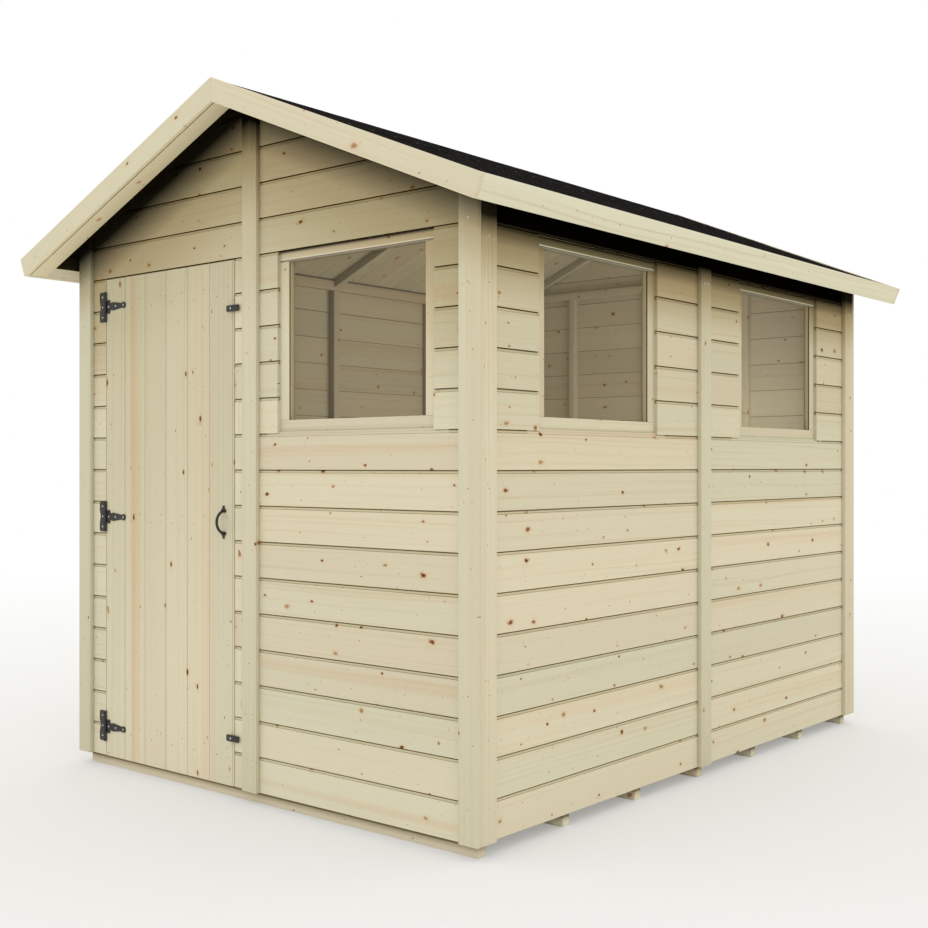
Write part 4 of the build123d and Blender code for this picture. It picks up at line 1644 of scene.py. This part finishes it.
@dataclass
class Ironwork:
    """T hinges, pull handle and turn buttons with eased edges, and their screws."""

    finishes: Finishes
    edge: float = 0.7 * MM
    hinge_thickness: float = 3.0 * MM
    screw: FixingHead = FixingHead(radius=3.6 * MM, height=1.4 * MM, drive_share=0.4)
    plate_rows: tuple[float, ...] = (-0.036, 0.0, 0.036)
    plate_line: float = 0.0175
    knuckle: float = 5 * MM
    strap_line: tuple[float, ...] = (0.0165, 0.058)
    strap_eye: float = 0.011
    button_tail: float = 0.021

    def drive(self, places: Sequence[tuple[Vector, Vector]], name: str, body: Body) -> None:
        """Drives screws at places."""
        fit(self.screw.drive_in(places), name, self.finishes.zinc, Slot.IRONWORK, body)

    def build(self) -> None:
        """Dresses all ironwork and drives the screws of hinges and buttons."""
        bodies = {"hinge_plates": Body.SHED, "hinge_straps": Body.DOOR, "pull_handle": Body.DOOR,
                  "turn_button_top": Body.TOP_BUTTON, "turn_button_bottom": Body.BOTTOM_BUTTON}
        for node, body in bodies.items():
            rework(node, "forged", self.edge, self.finishes.iron, Slot.IRONWORK, body)
        levels = [(low.z + high.z) / 2 for low, high in Solids.boxes("door_ledges")]
        plate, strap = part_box("hinge_plates"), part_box("hinge_straps")
        face = plate[1].y - self.hinge_thickness
        on_plate = [(Vector((plate[0].x + self.plate_line, face, level + row)), -Y_AXIS)
                    for level in levels for row in self.plate_rows]
        runs = [strap[0].x + self.knuckle + run for run in self.strap_line] + [strap[1].x - self.strap_eye]
        on_strap = [(Vector((run, face, level)), -Y_AXIS) for level in levels for run in runs]
        for body in (Body.TOP_BUTTON, Body.BOTTOM_BUTTON):
            low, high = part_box(body.value)
            pivot = Vector((low.x + self.button_tail, low.y, (low.z + high.z) / 2))
            self.drive([(pivot, -Y_AXIS)], f"{body.value}_screw", body)
        self.drive(on_plate, "plate_screws", Body.SHED)
        self.drive(on_strap, "strap_screws", Body.DOOR)


@dataclass
class StripFixings:
    """Screws and nails in the corner and cover strips."""

    finishes: Finishes
    screw: FixingHead = FixingHead(radius=3.2 * MM, height=1.0 * MM, drive_share=0.4)
    nail: FixingHead = FixingHead(radius=1.6 * MM, height=0.8 * MM, sides=8)
    gable_screws: tuple[float, ...] = (0.14, 1.736)
    side_screws: tuple[float, ...] = (0.14, 1.69)
    nail_levels: tuple[float, ...] = (0.445, 1.005, 1.564)
    pair: float = 0.011
    cover_reach: float = 0.1
    strips: dict[str, Vector] = field(default_factory=lambda: {
        "front_strips": -Y_AXIS, "back_strips": Y_AXIS, "left_strips": -X_AXIS, "right_strips": X_AXIS})

    def build(self) -> None:
        """Drives screws near both ends of each strip and nails between them."""
        screws, nails = [], []
        for node, outward in self.strips.items():
            gable = abs(outward.y) > 0
            along = X_AXIS if gable else Y_AXIS
            for low, high in Solids.boxes(node):
                middle = (low + high) / 2
                middle += outward * abs((high - middle).dot(outward))
                cover = abs(middle.dot(along)) < self.cover_reach
                for level in self.gable_screws if gable else self.side_screws:
                    for shift in (-self.pair, self.pair) if cover else (0,):
                        screws.append((Vector((middle.x, middle.y, level)) + along * shift, outward))
                nails += [(Vector((middle.x, middle.y, level)), outward) for level in self.nail_levels]
        fit(self.screw.drive_in(screws), "strip_screws", self.finishes.zinc, Slot.IRONWORK)
        fit(self.nail.drive_in(nails), "strip_nails", self.finishes.nail, Slot.IRONWORK)


@dataclass(frozen=True)
class FloorFinish(Finish):
    """Pale studio floor that fades into the white background and throws little light back."""

    name: str = "studio_floor"
    pale: Colour = (0.80, 0.80, 0.79)
    dim: Colour = (0.88, 0.87, 0.85)
    white: Colour = (1.0, 1.0, 1.0)
    glow_colour: Colour = (1.0, 0.996, 0.98)
    glow: float = 0.90
    glow_share: float = 0.30
    fade: tuple[float, float] = (3.0, 9.0)
    grain_share: float = 0.02

    def dress(self, tree: Tree) -> None:
        """Builds the floor: pale and shaded to the camera, dimmer to other rays, white far away."""
        x, y, _ = tree.parts(tree.place())
        away = ((x * x + y * y) ** 0.5).ramp(*self.fade)
        straight, mirrored = tree.seen()
        camera = (straight + mirrored).clamp()
        grain = tree.noise(tree.place(), scale=2) * self.grain_share + (1 - self.grain_share)
        pale = tree.multiply(1.0, self.pale, tree.grey(grain))
        colour = tree.blend(camera, self.dim, pale)
        lit = tree.surface(Base_Color=colour, Roughness=0.95, Specular_IOR_Level=0.0)
        white = tree.node("ShaderNodeEmission", 0, {"Color": self.white, "Strength": 1.0})
        glow = tree.node("ShaderNodeEmission", 0, {"Color": self.glow_colour, "Strength": self.glow})
        near = tree.node("ShaderNodeMixShader", 0, {0: camera * self.glow_share, 1: lit, 2: glow})
        tree.finish(tree.node("ShaderNodeMixShader", 0, {0: away * camera, 1: near, 2: white}))


@dataclass
class Lamp:
    """A soft lamp behind the side wall that fills the inside."""

    place: tuple[float, float, float] = (0.84, 0.36, 0.95)
    power: float = 11.2
    width: float = 1.1
    length: float = 1.2
    colour: Colour = (1.0, 0.95, 0.86)

    def hang(self) -> None:
        """Hangs the lamp, which shines across the shed."""
        bpy.ops.object.light_add(type="AREA", location=self.place, rotation=(0, math.pi / 2, 0))
        lamp = bpy.context.object
        lamp.visible_camera = False
        lamp.visible_glossy = False
        lamp.data.shape = "RECTANGLE"
        lamp.data.size = self.width
        lamp.data.size_y = self.length
        lamp.data.energy = self.power
        lamp.data.color = self.colour


@dataclass
class Studio:
    """White studio: floor, dome light, a lamp inside the shed and the camera."""

    floor_size: float = 80.0
    dome: float = 1.23
    dome_colour: Colour = (1.0, 0.995, 0.985)
    glossy_dome: float = 0.8
    fill: Lamp = field(default_factory=Lamp)
    eye: tuple[float, float, float] = (3.0937, -3.8742, 1.066)
    heading: float = 39.95
    lens: float = 49.46
    sensor: float = 36
    shift: float = 2 / 928
    white: Colour = (1.0, 1.0, 1.0)

    @staticmethod
    def clear() -> None:
        """Removes the objects of a new file, which are no part of the shed."""
        for name in ("Cube", "Light", "Camera"):
            if name in bpy.data.objects:
                bpy.data.objects.remove(bpy.data.objects[name])

    def world(self) -> None:
        """Builds a white background and a dimmer dome for the light."""
        world = bpy.data.worlds.new("studio_dome")
        bpy.context.scene.world = world
        tree = Tree(world)
        straight, mirrored = tree.seen()
        colour = tree.blend((straight + mirrored).clamp(), self.dome_colour, self.white)
        strength = self.dome + straight * (1 - self.dome) + mirrored * (self.glossy_dome - self.dome)
        sky = tree.node("ShaderNodeBackground", 0, {"Color": colour, "Strength": strength})
        tree.finish(sky, "ShaderNodeOutputWorld")

    def build(self) -> None:
        """Sets up the studio."""
        bpy.ops.object.select_all(action="DESELECT")
        bpy.ops.mesh.primitive_plane_add(size=self.floor_size)
        floor = bpy.context.object
        floor.name = "studio_floor"
        floor.data.materials.append(FloorFinish().material)
        self.world()
        self.fill.hang()
        bpy.ops.object.camera_add(location=self.eye, rotation=(math.pi / 2, 0, math.radians(self.heading)))
        camera = bpy.context.object
        camera.data.lens = self.lens
        camera.data.sensor_width = self.sensor
        camera.data.shift_y = self.shift
        bpy.context.scene.camera = camera
        bpy.context.scene.view_settings.view_transform = "Standard"


def main() -> None:
    """Builds the shed and its studio."""
    logging.basicConfig(level=logging.INFO, format="%(message)s")
    Studio.clear()
    plan = Plan.from_frame()
    finishes = Finishes(plan)
    FloorBoards(finishes).build()
    Cladding(plan, finishes).build()
    Carcass(finishes).build()
    Windows(plan, finishes).build()
    Roof(plan, finishes).build()
    DoorLeaf(finishes).build()
    Ironwork(finishes).build()
    StripFixings(finishes).build()
    Studio().build()


if __name__ == "__main__":
    main()
